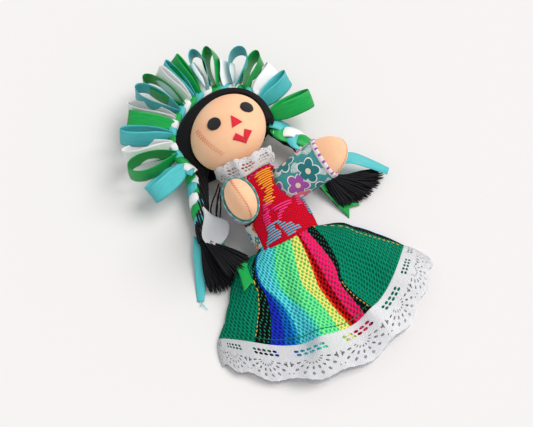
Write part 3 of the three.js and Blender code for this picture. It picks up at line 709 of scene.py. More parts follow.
def lay_ribbon(name, path, broad_at, width_at, material, cup=0.0, across=8, thickness=0.16):
    """Ribbon along a path. U is the way along and V the way across, in millimetres."""
    points, uv = [], []
    last = len(path) - 1
    for i, (at, far) in enumerate(zip(path, travelled_along(path))):
        along = heading(path, i)
        broad = broad_at(along)
        broad = (broad - along * broad.dot(along)).normalized()
        face = along.cross(broad)
        width = width_at(i / last)
        for j in range(across + 1):
            v = j / across - 0.5
            points.append(at + broad * (v * width) + face * (cup * width * (0.25 - v * v)))
            uv.append((far, v * RIBBON_WIDTH))
    ribbon = sew(name, points, quads(last, across), material, uv)
    thicken(ribbon, thickness)
    return ribbon


def across_and_up(along):
    """The level direction across a line, and the direction that points up from both."""
    across = along.cross(UP).normalized()
    return across, across.cross(along).normalized()


for number, (place, length, opening, twist, lean) in enumerate(LOOPS):
    turn, tip = math.radians(place), math.radians(lean)
    outwards = Vector((math.sin(turn) * math.cos(tip), math.cos(turn) * math.cos(tip), math.sin(tip)))
    twisted = Matrix.Rotation(math.radians(twist), 3, outwards)
    opening_way, broad_way = (twisted @ way for way in across_and_up(outwards))
    # The last two loops on the doll's left are sewn to the hair below the crown braid's end.
    foot = crown_point(place, CROWN_RADIUS + 0.1 if place < 65 else 23.4, CROWN_HEIGHT + 0.8)
    path = []
    for i in range(57):
        t = i / 56
        out = (length + LOOP_FOOT) * (1 - math.cos(2 * math.pi * t)) / 2
        bulge = opening / 2 * math.sin(2 * math.pi * t) * math.sin(math.pi * t) ** 1.2 * 1.25
        aside = 0.5 * math.cos(math.pi * t) + bulge
        wave = 0.22 * math.sin(2 * math.pi * t * 2 + number) * math.sin(math.pi * t)
        path.append(foot + outwards * out + opening_way * (aside + wave))
    colour = COLOURS[number % 3]
    loop = lay_ribbon(
        "loop_ribbon_%02d" % (number + 1),
        path,
        lambda along, way=broad_way: way,
        lambda t: RIBBON_WIDTH * (0.36 + 0.62 * min(1.0, 1.7 * math.sin(math.pi * t))),
        satins[colour],
        cup=0.10 if number % 2 else -0.08,
    )
    finish_piece(loop, "head", "satin_" + colour, "ribbon_loop_%02d" % (number + 1))


# ---- Blouse
# Printed cotton round the torso, with armholes. Its print is small five-petalled flowers on a pale
# ground, with some teal.
def printed_cotton(tree, colour, depth=0.04):
    fluff = grain(tree, 1600.0)
    coat(tree, Base_Color=colour, Roughness=0.85, Sheen_Weight=0.1, Normal=relief(fluff, 0.4, depth))


def flower_print(name, grounds, petals, share_of_second, flower):
    """Cotton printed with scattered five-petalled flowers of a given size. UV is in millimetres."""
    material, tree = new_material(name)
    flat = add(tree, "UVMap")
    small = add(tree, "VectorMath", {0: flat, 3: 1.0 / flower}, operation="SCALE")
    spots = {"Vector": small, "Scale": 1.0, "Randomness": 0.55}
    reach = add(tree, "TexVoronoi", spots, "Distance", voronoi_dimensions="2D")
    away = add(tree, "VectorMath", {0: small, 1: reach.other("Position")}, operation="SUBTRACT")
    away = add(tree, "SeparateXYZ", {0: away})
    tint = add(tree, "SeparateColor", {0: reach.other("Color")})
    turn = away.other(1).maths("ARCTAN2", away) + tint.other(2) * 6.3
    size = abs((turn * 2.5).maths("COSINE")) * 0.17 + 0.25
    vein = abs(noise(flat, 0.5, Distortion=1.5) - 0.5) < 0.022
    colour = mix_colours(noise(flat, 0.16, 0.0) > 1.0 - share_of_second, grounds[0], grounds[1])
    colour = mix_colours(vein * 0.7, colour, grounds[2])
    colour = mix_colours(size + 0.05 > reach, colour, (240, 236, 232))
    chosen = mix_colours(tint > 0.42, petals[0], petals[1])
    chosen = mix_colours(tint.other(1) > 0.68, chosen, petals[2])
    colour = mix_colours(size > reach, colour, chosen)
    colour = mix_colours(reach < 0.1, colour, (246, 222, 190))
    printed_cotton(tree, colour)
    return material


def limb_frame(side):
    """The directions along, across and through an arm, and the middle of its shoulder."""
    aim = Vector((-0.095, -0.3, 0.95) if side < 0 else (0.875, -0.01, 0.484)).normalized()
    broad = (Vector((0, 1, 0)) - aim * aim.y).normalized()
    return aim, broad, aim.cross(broad).normalized(), Vector((side * 13.6, 11, 13.4))


ARM_FRAMES = {-1: limb_frame(-1), 1: limb_frame(1)}
ARM_TRAVEL = {-1: 20, 1: 50}


def in_arm_room(point, clearance):
    """True where an arm's sleeve passes, at rest or at the end of its swing."""
    for side, (aim, broad, thick, centre) in ARM_FRAMES.items():
        for travel in (0, ARM_TRAVEL[side]):
            turned = Matrix.Rotation(math.radians(-travel), 3, broad)
            way = turned @ aim
            through = turned @ thick
            from_shoulder = point - centre
            along = max(0.0, from_shoulder.dot(way))
            rest = from_shoulder - way * along
            across = rest.dot(broad) / (11.2 + clearance)
            deep = math.hypot(rest.dot(through), rest.dot(way)) / (8.0 + clearance)
            if across * across + deep * deep < 1:
                return True
    return False


# The stuffed torso is pressed in where the arms are seated.
for vertex in torso.data.vertices:
    for _ in range(60):
        if not in_arm_room(vertex.co * 1000, 0.5):
            break
        vertex.co.x *= 0.93
        vertex.co.z += (TORSO_MIDDLE * 0.001 - vertex.co.z) * 0.03

blouse_print = flower_print(
    "blouse_print",
    ((232, 230, 228), (120, 186, 186), (196, 200, 204)),
    ((222, 128, 30), (30, 150, 152), (200, 74, 138)),
    0.30,
    6.5,
)
BLOUSE_SIDES, BLOUSE_ROWS = 132, 64
BLOUSE_LOW, BLOUSE_LENGTH, BLOUSE_ROUND = -15.2, 41.2, 101
BLOUSE_EASE = 0.75
NECK_HOLE = 6.4
points, uv = [], []
for i in range(BLOUSE_ROWS + 1):
    y = BLOUSE_LOW + BLOUSE_LENGTH * i / BLOUSE_ROWS
    half_width, half_depth = torso_section(y)
    for j in range(BLOUSE_SIDES + 1):
        turn = 2 * math.pi * j / BLOUSE_SIDES - math.pi / 2
        off = BLOUSE_EASE + 0.14 * math.sin(5 * turn + y / 3) + 0.1 * math.sin(11 * turn - y / 2)
        z = max(0.3, TORSO_MIDDLE + (half_depth + off) * math.sin(turn))
        points.append(((half_width + off) * math.cos(turn), y, z))
        uv.append((BLOUSE_ROUND * j / BLOUSE_SIDES, y))
faces = []
for corners in quads(BLOUSE_ROWS, BLOUSE_SIDES):
    middle = sum((Vector(points[c]) for c in corners), Vector()) / 4
    neck_gap = math.hypot(middle.x, middle.z - NECK_MIDDLE) < NECK_HOLE and middle.y > 24
    if not in_arm_room(middle, 0.4) and not neck_gap:
        faces.append(corners)
blouse = sew("blouse_cloth", points, faces, blouse_print, uv)
thicken(blouse, 0.3, 1.0)
finish_piece(blouse, "torso", "printed_cotton", "blouse")


# ---- Arms and sleeves
# Flat-sewn stuffed arms with rounded hands, in short wide sleeves with a turned hem. A seam of pink
# thread runs over the end of each hand.
SLEEVE_HALF = (11.2, 8.0)
SLEEVE_LENGTH = 24.0
SLEEVE_ROUND = 59.0
SLEEVE_SIDES = 96
SLEEVE_RIPPLE = 0.02
ROOT_SLACK = 0.95
ARM_LENGTH = 36.0
ARM_INSIDE = 1.1


def limb_rings(side, stations, sides, ripple=0.0):
    """Oval rings along an arm, each given by its place along and its two half widths."""
    aim, broad, thick, centre = ARM_FRAMES[side]
    rings = []
    for along, half_broad, half_thick in stations:
        ring = []
        for turn in turns(sides):
            wave = 0.6 * math.sin(3 * turn + side) + 0.4 * math.sin(5 * turn)
            swell = 1 + ripple * max(0.0, along) / 24 * wave
            at = centre + aim * along
            over = broad * (half_broad * swell * math.cos(turn))
            ring.append(at + over + thick * (half_thick * swell * math.sin(turn)))
        rings.append(ring)
    return rings


def round_end(half_broad, half_thick, steps):
    """The stations of an arm's rounded end in the shoulder."""
    ends = []
    for i in range(steps):
        bend = math.pi / 2 * (i + 0.35) / steps
        ends.append((-half_thick * math.cos(bend), half_broad * math.sin(bend), half_thick * math.sin(bend)))
    return ends


def sleeve_tube(name, side, stations, heights, material, closed=False):
    """A tube of sleeve cloth. U runs round it and V along it, in millimetres."""
    rings = limb_rings(side, stations, SLEEVE_SIDES, SLEEVE_RIPPLE)
    points = [at for ring in rings for at in ring + ring[:1]]
    uv = [(SLEEVE_ROUND * j / SLEEVE_SIDES, height) for height in heights for j in range(SLEEVE_SIDES + 1)]
    faces = quads(len(rings) - 1, SLEEVE_SIDES)
    if closed:
        faces.append(tuple(range(SLEEVE_SIDES))[::-1])
    return sew(name, points, faces, material, uv)


def cuff_print(name, ground, line, bars):
    """The printed edge of the sleeve: a wavy line along the hem, or short bars across it."""
    material, tree = new_material(name)
    flat = add(tree, "SeparateXYZ", {0: add(tree, "UVMap")})
    if bars:
        mask = (flat.maths("PINGPONG", 1.7) > 1.15) * (abs(flat.other(1) - 1.2) < 0.8)
    else:
        wave = (flat * 1.6).maths("SINE") * 0.3 + 1.1
        mask = abs(flat.other(1) - wave) < 0.3
    printed_cotton(tree, mix_colours(mask, ground, line), 0.05)
    return material


sleeve_print = flower_print(
    "sleeve_print",
    ((64, 160, 160), (206, 224, 222), (36, 124, 130)),
    ((226, 120, 150), (20, 122, 128), (168, 84, 176)),
    0.42,
    13.5,
)
cuff_prints = {
    "right": cuff_print("cuff_teal", (40, 150, 152), (236, 238, 236), False),
    "left": cuff_print("cuff_white", (236, 230, 232), (164, 76, 178), True),
}
hand_thread = thread("hand_thread", (240, 124, 124), (214, 84, 92))
for side, label in ((-1, "right"), (1, "left")):
    body = "arm_" + label
    aim, broad, thick, centre = ARM_FRAMES[side]
    half_broad, half_thick = (half - ARM_INSIDE for half in SLEEVE_HALF)
    hand_start = SLEEVE_LENGTH - 2
    hand_length = ARM_LENGTH - hand_start
    stations = round_end(half_broad, half_thick, 6)
    stations += [
        (0.5, half_broad, half_thick),
        (12, half_broad * 0.97, half_thick * 0.97),
        (hand_start - 1.5, half_broad * 1.02, half_thick * 1.03),
        (hand_start, half_broad * 1.05, half_thick * 1.06),
    ]
    for i in range(1, 15):
        bend = math.pi / 2 * i / 14.4
        swell = math.cos(bend) * (1 + 0.06 * math.cos(bend))
        stations.append((hand_start + hand_length * math.sin(bend), half_broad * swell, half_thick * swell))
    stuffed("arm_stuffed_" + label, limb_rings(side, stations, 40), body, body)

    stitches = []
    for i in range(37):
        bend = math.radians(-78 + 156 * i / 36)
        aside = 0.1 * math.sin(2 * bend) + (0.46 if i % 2 else -0.46) / half_thick
        away = min(0.995, math.hypot(math.sin(bend), aside))
        swell = 1 + 0.06 * away
        tip = centre + aim * (hand_start + hand_length * math.sqrt(1 - away * away) + 0.06)
        over = broad * (math.sin(bend) * swell * half_broad)
        stitches.append(tip + over - thick * (aside * swell * half_thick * side))
    seam = spin("hand_seam_" + label, [stitches], 0.13, hand_thread, 6)
    finish_piece(seam, body, "skin_cotton")

    stations = round_end(*(half - ROOT_SLACK for half in SLEEVE_HALF), 8)
    for along in (0.5, 3, 6, 9, 12, 15, 18, 20, 21.4, 22.6, 23.9):
        slack = ROOT_SLACK * max(0.0, 1 - along / 15)
        stations.append((along, SLEEVE_HALF[0] - slack, SLEEVE_HALF[1] - slack))
    heights = [along for along, *_ in stations]
    sleeve = sleeve_tube("sleeve_cloth_" + label, side, stations, heights, sleeve_print, closed=True)
    thicken(sleeve, 0.4, -1.0)
    finish_piece(sleeve, body, "printed_cotton", "sleeve_" + label)

    # The hem is turned in: places along the arm, and how far each stands out from the sleeve.
    hem = [(21.6, 0.05), (21.8, 0.3), (22.8, 0.36), (23.9, 0.32), (24.15, 0.1), (24.1, -0.4), (23.2, -0.6)]
    stations = [(along, SLEEVE_HALF[0] + out, SLEEVE_HALF[1] + out) for along, out in hem]
    heights = [24.6 - along if along > 22 else 2.6 for along, out in hem]
    cuff = sleeve_tube("cuff_" + label, side, stations, heights, cuff_prints[label])
    finish_piece(cuff, body, "printed_cotton")


# ---- Bodice front
# A straight piece of red handwoven cloth laid over the blouse, with brocade bars of thick yarn laid
# into the weave: orange under the neck, pink below, light blue at the waist and the left edge.
def uneven(flat, scale, reach):
    """Places on the flat cloth, shifted a little so that the rows of its weave wander."""
    shift = noise(flat, scale, 1.0, "Color")
    sockets = {0: shift, 1: (reach,) * 3, 2: flat}
    return add(flat.node.id_data, "VectorMath", sockets, operation="MULTIPLY_ADD")


def handwoven(name, ground, hollow_shade, cell, depth):
    """A plain coarse weave: staggered short floats, with painted shade in the hollows between them. UV in
    millimetres.
    """
    material, tree = new_material(name)
    floats = {
        "Vector": uneven(add(tree, "UVMap"), 0.35, 0.9),
        "Scale": 1.0,
        "Mortar Size": 0.16,
        "Mortar Smooth": 0.7,
        "Brick Width": cell[0],
        "Row Height": cell[1],
    }
    between = add(tree, "TexBrick", floats, "Fac", offset=0.5)
    fibre = grain(tree, 1800.0)
    # Painted shade: the hollows between the floats take the darker colour, with some random unevenness of the
    # fibre.
    coat(
        tree,
        Base_Color=mix_colours(fibre * 0.35 + between * 0.75 - 0.18, ground, hollow_shade),
        Roughness=0.9,
        Specular_IOR_Level=0.08,
        Normal=relief(fibre * 0.3 - between, 0.8, depth),
    )
    return material


woven_red = handwoven("woven_red", (220, 12, 42), (120, 0, 18), (1.5, 0.95), 0.35)
BODICE_WIDTH, BODICE_LENGTH = 29.0, 41.0
# Its right and left edge, in degrees round the torso from the middle of the chest, on the way down.
BODICE_RIGHT = [(0, -19), (0.3, -29), (0.65, -49), (1, -53)]
BODICE_LEFT = [(0, 50), (0.3, 66), (0.5, 78), (0.85, 78), (1, 66)]


def bodice_spot(across, down, lift=0.0):
    """A point on the bodice: across from the doll's right to its left, and down, both 0 to 1."""
    right = along_stops(BODICE_RIGHT, down)
    left = along_stops(BODICE_LEFT, down)
    turn = math.radians(right + (left - right) * across)
    top = 20.9 + 3.4 * across
    bottom = -17.6 - 2.0 * math.sin(math.pi * min(1.0, across * 1.25)) + 1.0 * across
    y = top + (bottom - top) * down
    half_width, half_depth = torso_section(y)
    grow = 1.75 + lift + 0.12 * math.sin(9 * across + 4 * down)
    z = TORSO_MIDDLE + (half_depth + grow) * math.cos(turn)
    return Vector(((half_width + grow) * math.sin(turn), y, z))


rows, columns = 60, 44
points, uv = [], []
for i in range(rows + 1):
    for j in range(columns + 1):
        points.append(bodice_spot(j / columns, i / rows))
        uv.append((BODICE_WIDTH * j / columns, BODICE_LENGTH * i / rows))
faces = []
for a, b, c, d in quads(rows, columns):
    if not in_arm_room((points[a] + points[d] + points[c] + points[b]) / 4, 0.4):
        faces.append((a, d, c, b))
bodice = sew("bodice_cloth", points, faces, woven_red, uv)
thicken(bodice, 0.6)
finish_piece(bodice, "torso", "woven_red", "bodice_front")


def laid_yarn(name, bars, thickness, material):
    """Brocade bars, each from one place on the bodice's front to another."""
    paths = []
    for x0, y0, x1, y1 in bars:
        path = []
        for i in range(9):
            share = i / 8
            lift = 2.05 + 0.32 * math.sin(math.pi * share) ** 0.4
            path.append(torso_point(x0 + (x1 - x0) * share, y0 + (y1 - y0) * share, lift))
        paths.append(path)

    def flat_on_cloth(at, along):
        return along.cross(Vector((at.x * 0.05, 0, 1)))

    yarn = spin(name, paths, thickness, material, 8, broad=flat_on_cloth, flatten=0.7)
    finish_piece(yarn, "torso", "woven_red")
    return yarn


orange_yarn = thread("orange_yarn", (255, 186, 52), (240, 140, 26))
pink_yarn = thread("pink_yarn", (255, 70, 150), (220, 24, 104))
blue_yarn = thread("blue_yarn", (102, 202, 228), (52, 140, 176))
purple_yarn = thread("purple_yarn", (182, 108, 206), (130, 60, 150))
orange_ends = [
    (-0.4, 8.6), (-1.6, 7.6), (-0.2, 8.4), (-1.9, 7.2), (-1.0, 8.0), (-2.0, 6.0), (-0.2, 5.6), (-1.8, 5.0),
    (0.4, 5.2), (-1.0, 3.4), (-0.6, 3.8), (-2.4, 2.6), (-3.6, 1.4), (-3.0, 2.6), (-4.2, 1.0),
]
orange_bars = []
for i, (start, stop) in enumerate(orange_ends):
    y = 19.6 - 1.22 * i
    orange_bars.append((start, y + 0.04 * start, stop, y + 0.16 * stop))
pink_bars = [(12.9 - 0.25 * i, 4.4 - 1.3 * i, 15.0 - 0.1 * i, 4.6 - 1.3 * i) for i in range(7)]
pink_bars += [
    (-2.2, -1.2, 9.4, -0.2), (-1.4, -2.5, 9.0, -1.6), (0.8, -3.8, 5.8, -3.3), (-0.6, -5.0, 3.2, -4.7),
    (-5.4, 2.4, 0.6, 2.9), (-5.6, 1.2, -0.4, 1.6), (-6.0, -0.1, -3.4, 0.1), (-5.2, -1.4, -2.8, -1.2),
    (-7.4, -2.4, -3.8, -2.1), (-7.8, -3.6, -4.4, -3.4), (-8.2, -4.8, -4.0, -4.6), (-8.0, -6.0, -4.8, -5.8),
    (-8.4, -7.2, -5.4, -7.0), (-1.2, -6.4, 1.2, -6.1), (-1.8, -7.6, 0.4, -7.4),
]
blue_right = [
    (-8.4, -1.4), (-8.8, -4.4), (-8.6, -4.9), (-9.6, -3.9), (-10.4, -3.2), (-11.6, -3.5), (-12.2, -4.4),
]
blue_left = [(-2.9, -0.8), (-2.5, 1.0), (-2.5, 4.0), (-1.9, 4.4), (-1.7, 6.6), (-1.5, 6.8), (-1.3, 3.4)]
blue_bars = [(a, -8.6 - 1.3 * i, b, -8.3 - 1.3 * i) for i, (a, b) in enumerate(blue_right)]
blue_bars += [(a, -9.6 - 1.3 * i, b, -9.2 - 1.3 * i) for i, (a, b) in enumerate(blue_left)]
brocade = [
    laid_yarn("brocade_orange", orange_bars, 0.36, orange_yarn),
    laid_yarn("brocade_pink", pink_bars, 0.38, pink_yarn),
    laid_yarn("brocade_blue", blue_bars, 0.38, blue_yarn),
]


def short_stitch(across, width, down, lift, steps):
    """A stitch on the bodice, highest in its middle."""
    stitch = []
    for k in range(steps + 1):
        rise = lift + 0.1 * math.sin(math.pi * k / steps)
        stitch.append(bodice_spot(across + width * k / steps, down, rise))
    return stitch


edge_bars = [short_stitch(0.86 + 0.012 * (i % 2), 0.135, 0.56 + 0.035 * i, 0.35, 5) for i in range(8)]
edge_yarn = spin("brocade_edge", edge_bars, 0.38, blue_yarn, 8)
finish_piece(edge_yarn, "torso", "woven_red")
dashes = [short_stitch(0.04 + 0.087 * i, 0.055, 0.032 if i % 2 else 0.052, 0.3, 4) for i in range(11)]
top_stitches = spin("bodice_top_stitches", dashes, 0.24, purple_yarn, 6)
finish_piece(top_stitches, "torso", "woven_red")


# ---- Skirt
# A wide tube of handwoven cloth, gathered at the waist and spread over the table. Its back lies flat
# and its front rises in broad folds. The coloured stripes run down from the waist to the hem.
FAN_Y = -14.0
FAN_START = 18
SKIRT_RADIUS = 55.3
SKIRT_CORNER = 4.2
HEM_HEIGHT = 9.6
WAIST_TOP = TORSO_MIDDLE + TORSO_DEPTH / 2
LACE_DEPTH = 17.6
FLANKS = {
    -1: [(18, 103), (25.5, 99), (33, 80), (41, 69.5), (50.5, 63), (59.5, 60.2), (80, 56)],
    1: [(18, 103), (22, 98), (28, 90), (35, 80), (45.5, 71.5), (58, 64), (64, 61), (80, 58)],
}


def flank(side, radius):
    """How far the skirt spreads to a side, in degrees from straight down."""
    return along_stops(FLANKS[-1 if side < 0 else 1], radius)


def hem_fold(angle, share=1.0):
    """Height of the folds at the hem, at an angle of the fan. The main one is steep on the doll's right."""
    ridge = -10.0 - 27 * (1 - share) ** 2
    height = 2.6 * math.exp(-(((angle + 46) / 11) ** 2))
    height += 7.2 * math.exp(-(((angle - ridge) / (6 if angle < ridge else 12)) ** 2))
    height += 5.0 * math.exp(-(((angle - 19) / 6) ** 2))
    height += 3.4 * math.exp(-(((angle - 46) / 10) ** 2))
    return height


def ease(x, low, high):
    t = max(0.0, min(1.0, (x - low) / (high - low)))
    return t * t * (3 - 2 * t)


# Folds between the waist and the hem: height, width towards the doll's right and towards its left,
# and the angle of the fold on its way down.
FOLDS = [
    (2.0, 9, 9, [(0, -64), (1, -48)]),
    (3.0, 5.5, 4.2, [(0, -60), (0.2, -45), (0.5, -32), (1, -29)]),
    (5.2, 4.4, 8, [(0, -18), (0.25, -16), (0.5, -15), (1, -12)]),
    (3.8, 5, 5.5, [(0, 30), (0.2, 22), (0.5, 16), (1, 17)]),
    (3.4, 8, 10, [(0, 66), (0.5, 56), (1, 47)]),
]


def skirt_fold(angle, share):
    """Height of the folds on the way down: they grow out of the gathers and run into the hem's."""
    height = 0.0
    for tall, towards_right, towards_left, path in FOLDS:
        off = math.radians(angle - along_stops(path, share)) * (18 + 37 * share)
        height += tall * share**0.7 * math.exp(-((off / (towards_right if off < 0 else towards_left)) ** 2))
    near_hem = ease(share, 0.6, 1.0)
    return height + (hem_fold(angle) - height) * near_hem


def fan_point(turn, radius, height, fold, corner, rounding=0.0):
    """A point of the spread cloth, turn round it: 0 and pi are its flanks, and pi / 2 its front."""
    side = math.cos(turn)
    reach = radius + corner * abs(side) ** 5
    lean = math.radians((flank(side, reach) - rounding) * side)
    rise = max(0.0, math.sin(turn))
    top = (height + fold(math.degrees(lean))) * rise**0.8
    return Vector((reach * math.sin(lean), FAN_Y - reach * math.cos(lean), top))


def hem_band_point(turn, depth):
    """A point of the lace below the hem: it follows the hem's folds and sinks towards its edge."""
    share = max(0.0, depth) / LACE_DEPTH
    height = HEM_HEIGHT + (3.8 - HEM_HEIGHT) * share + 0.35
    keep = 1 - 0.62 * share
    rounding = 5 * share + 4 * share**2
    corner = SKIRT_CORNER * (1 - share)
    at = fan_point(turn, SKIRT_RADIUS, height, lambda angle: keep * hem_fold(angle, keep), corner, rounding)
    away = Vector((at.x, at.y - FAN_Y, 0)).normalized()
    reach = 18.4 + 1.2 * away.x - (4.0 if away.x < 0 else 0.5) * away.x**2
    at = at + away * (reach * depth / LACE_DEPTH)
    at.z += 0.2 * math.sin(46 * turn + 2.0 * share) * share * max(0.0, math.sin(turn))
    at.z = max(0.25 if math.sin(turn) < 0 else 0.75, at.z)
    return at


def skirt_point(turn, share):
    """A point of the skirt: turn round the tube, and share of the way from the waist to the hem."""
    if share > 1:
        under = hem_band_point(turn, (share - 1) * 50)
        return under - Vector((0, 0, min(under.z - 0.1, 0.5)))
    side, front = math.cos(turn), math.sin(turn)
    radius = FAN_START + (SKIRT_RADIUS - FAN_START) * share
    height = WAIST_TOP + (HEM_HEIGHT - WAIST_TOP) * share**0.85
    fan = fan_point(turn, radius, height, lambda angle: skirt_fold(angle, share), SKIRT_CORNER * share)
    fan.z = max(fan.z, 0.45)
    grow = 1.3 + 0.34 * (1 - share) ** 2 * math.sin(26 * turn)
    waist = Vector(((15.5 + grow) * side, -15.0 - 18 * share, TORSO_MIDDLE + (9.3 + grow) * front))
    mixed = waist.lerp(fan, ease(share, 0, 0.34))
    ripple = 0.2 * math.sin(14 * turn + 7 * share) + 0.12 * math.sin(31 * turn - 9 * share)
    mixed.z += ripple * math.sin(math.pi * share) * max(0.0, front)
    mixed.z = max(0.35, mixed.z)
    return mixed


# Where each stripe begins, as the side of the tube (-1 to 1) at six places down the skirt.
STRIPE_HEIGHTS = (0.0, 0.18, 0.3, 0.5, 0.75, 1.0)
STRIPE_EDGES = [
    (-1.0, -1.0, -1.0, -1.0, -1.0, -1.0),
    (-0.97, -0.84, -0.64, -0.64, -0.675, -0.70),
    (-0.91, -0.80, -0.57, -0.54, -0.55, -0.575),
    (-0.90, -0.79, -0.56, -0.38, -0.33, -0.32),
    (-0.44, -0.44, -0.37, -0.25, -0.17, -0.165),
    (0.03, -0.12, -0.15, -0.06, -0.01, 0.0),
    (0.22, 0.10, 0.01, 0.035, 0.065, 0.10),
    (0.28, 0.17, 0.13, 0.13, 0.14, 0.16),
    (0.52, 0.38, 0.29, 0.22, 0.23, 0.24),
    (0.86, 0.56, 0.33, 0.24, 0.255, 0.30),
    (0.93, 0.87, 0.87, 0.87, 0.92, 0.97),
    (1.0, 1.0, 1.0, 1.0, 1.0, 1.0),
]


def stripe_side(number, share):
    """Where a stripe edge runs, smoothed between the measured places."""
    edge = list(zip(STRIPE_HEIGHTS, STRIPE_EDGES[number]))
    around = [along_stops(edge, min(1.0, max(0.0, share + step * 0.02))) for step in range(-4, 5)]
    return sum(around) / len(around)


def stripe_at(side, edges):
    """The place among the stripes: its whole part counts the stripe edges."""
    for k, (low, high) in enumerate(zip(edges, edges[1:])):
        if side <= high:
            return k + max(0.0, side - low) / max(1e-6, high - low)
    return float(len(edges) - 1)


# The floats repeat at this distance down the skirt, and at this one round it.
FLOAT_LENGTH, FLOAT_WIDTH = 3.2, 2.3


def striped_cloth():
    """Coloured stripes of staggered floats over a green ground, darker between the floats."""
    material, tree = new_material("woven_stripes")
    stripe = add(tree, "SeparateXYZ", {0: add(tree, "UVMap", uv_map="stripes")})
    # Place among the stripes, colour of the floats, ground between them, and how closely they cover it.
    bands = [
        (0.0, (4, 140, 104), (2, 88, 68), 0.6),
        (1.0, (14, 12, 18), (30, 150, 104), 0.95),
        (2.0, (30, 48, 200), (4, 44, 84), 0.75),
        (2.45, (16, 100, 196), (2, 56, 92), 0.7),
        (2.8, (36, 160, 220), (6, 110, 130), 0.6),
        (3.0, (100, 226, 244), (20, 172, 168), 0.55),
        (3.75, (92, 234, 214), (20, 178, 146), 0.55),
        (4.0, (118, 246, 150), (30, 190, 126), 0.55),
        (5.0, (246, 240, 120), (110, 196, 90), 0.55),
        (6.0, (244, 66, 24), (150, 16, 12), 0.8),
        (6.25, (186, 8, 20), (52, 4, 8), 0.6),
        (7.0, (255, 26, 110), (34, 84, 60), 0.9),
        (8.0, (14, 12, 18), (24, 120, 84), 1.0),
        (9.0, (4, 140, 104), (2, 88, 68), 0.6),
        (10.25, (14, 12, 18), (20, 100, 74), 1.0),
        (10.82, (30, 70, 180), (8, 40, 90), 0.8),
    ]
    count = len(STRIPE_EDGES) - 1
    ramps = []
    for _ in range(3):
        ramp = add(tree, "ValToRGB", {0: stripe / count})
        ramp.node.color_ramp.interpolation = "CONSTANT"
        while len(ramp.node.color_ramp.elements) < len(bands):
            ramp.node.color_ramp.elements.new(0.5)
        ramps.append(ramp)
    for band, floats, ground, close in zip(bands, *(ramp.node.color_ramp.elements for ramp in ramps)):
        floats.position = ground.position = close.position = band[0] / count
        floats.color, ground.color = linear(*band[1]), linear(*band[2])
        close.color = (band[3], band[3], band[3], 1.0)
    place = add(tree, "SeparateXYZ", {0: uneven(add(tree, "UVMap", uv_map="flat"), 0.2, 1.5)})
    down = (place * (2 * math.pi / FLOAT_LENGTH)).maths("COSINE")
    over = (place.other(1) * (2 * math.pi / FLOAT_WIDTH)).maths("COSINE")
    floats_up = down * over * 2.0
    fibre = grain(tree, 1500.0)
    covered = ramps[2] * 2.0 + floats_up + fibre * 0.8 - 0.4
    gap = add(tree, "MapRange", {0: covered, 1: 0.35, 2: 1.0, 3: 1.0, 4: 0.0})
    coat(
        tree,
        Base_Color=mix_colours(gap, ramps[0], ramps[1]),
        Roughness=0.9,
        Specular_IOR_Level=0.08,
        Normal=relief(fibre * 0.5 + floats_up, 0.8, 0.3),
    )
    return material


SKIRT_SIDES = 300
SKIRT_ROWS = 90
# The cloth runs on a little past its hem, under the lace.
SKIRT_REACH = 1.12
ROW_STEP = SKIRT_REACH / SKIRT_ROWS
points, flat_uv, stripe_uv = [], [], []
down_front = 0.0
for i in range(SKIRT_ROWS + 1):
    share = SKIRT_REACH * i / SKIRT_ROWS
    if i:
        down_front += (skirt_point(math.pi / 2, share) - skirt_point(math.pi / 2, share - ROW_STEP)).length
    ring = [skirt_point(turn, share) for turn in turns(SKIRT_SIDES)]
    ring.append(ring[0])
    far = travelled_along(ring)
    edges = [stripe_side(k, min(1.0, share)) for k in range(len(STRIPE_EDGES))]
    points += ring
    for turn, round_skirt in zip(turns(SKIRT_SIDES) + [2 * math.pi], far):
        flat_uv.append((down_front, round_skirt - far[SKIRT_SIDES // 4]))
        stripe_uv.append((stripe_at(math.cos(turn), edges), share))
skirt = sew("skirt_cloth", points, quads(SKIRT_ROWS, SKIRT_SIDES), striped_cloth(), flat_uv)
lay_flat(skirt.data, "stripes", stripe_uv)
thicken(skirt, 0.4)
finish_piece(skirt, "torso", "woven_green", "skirt")


def on_skirt_front(side, share, lift):
    """A point on the front of the skirt: side is -1 at the doll's right flank and 1 at its left."""
    turn = math.acos(max(-0.999, min(0.999, side)))
    return skirt_point(turn, share) + UP * lift


gold_thread = thread("gold_thread", (250, 200, 60), (220, 150, 30))
green_thread = thread("green_thread", (18, 136, 88), (6, 84, 54))
gold_stitches = []
for number, start, end in ((1, 0.3, 0.97), (9, 0.02, 0.12), (9, 0.5, 0.97), (10, 0.1, 0.99)):
    count = 2 + int(110 * (end - start))
    shares = [start + (end - start) * i / (count - 1) for i in range(count)]
    line = [on_skirt_front(stripe_side(number, share), share, 0.36) for share in shares]
    gold_stitches += [line[i : i + 4] for i in range(0, count - 3, 6)]
gold_line = spin("skirt_gold_stitches", gold_stitches, 0.23, gold_thread, 6)
finish_piece(gold_line, "torso", "woven_green")
hem_stitches = []
for i in range(181):
    side = -0.985 + 1.955 * i / 180
    share = 0.925 + 0.016 * math.sin(7 * side) - 0.03 * max(0.0, abs(side) - 0.85) / 0.15
    hem_stitches.append(on_skirt_front(side, share, 0.3 + 0.08 * math.sin(3.1 * i)))
hem_line = spin("skirt_hem_stitches", [hem_stitches], 0.18, green_thread, 6)
finish_piece(hem_line, "torso", "woven_green")


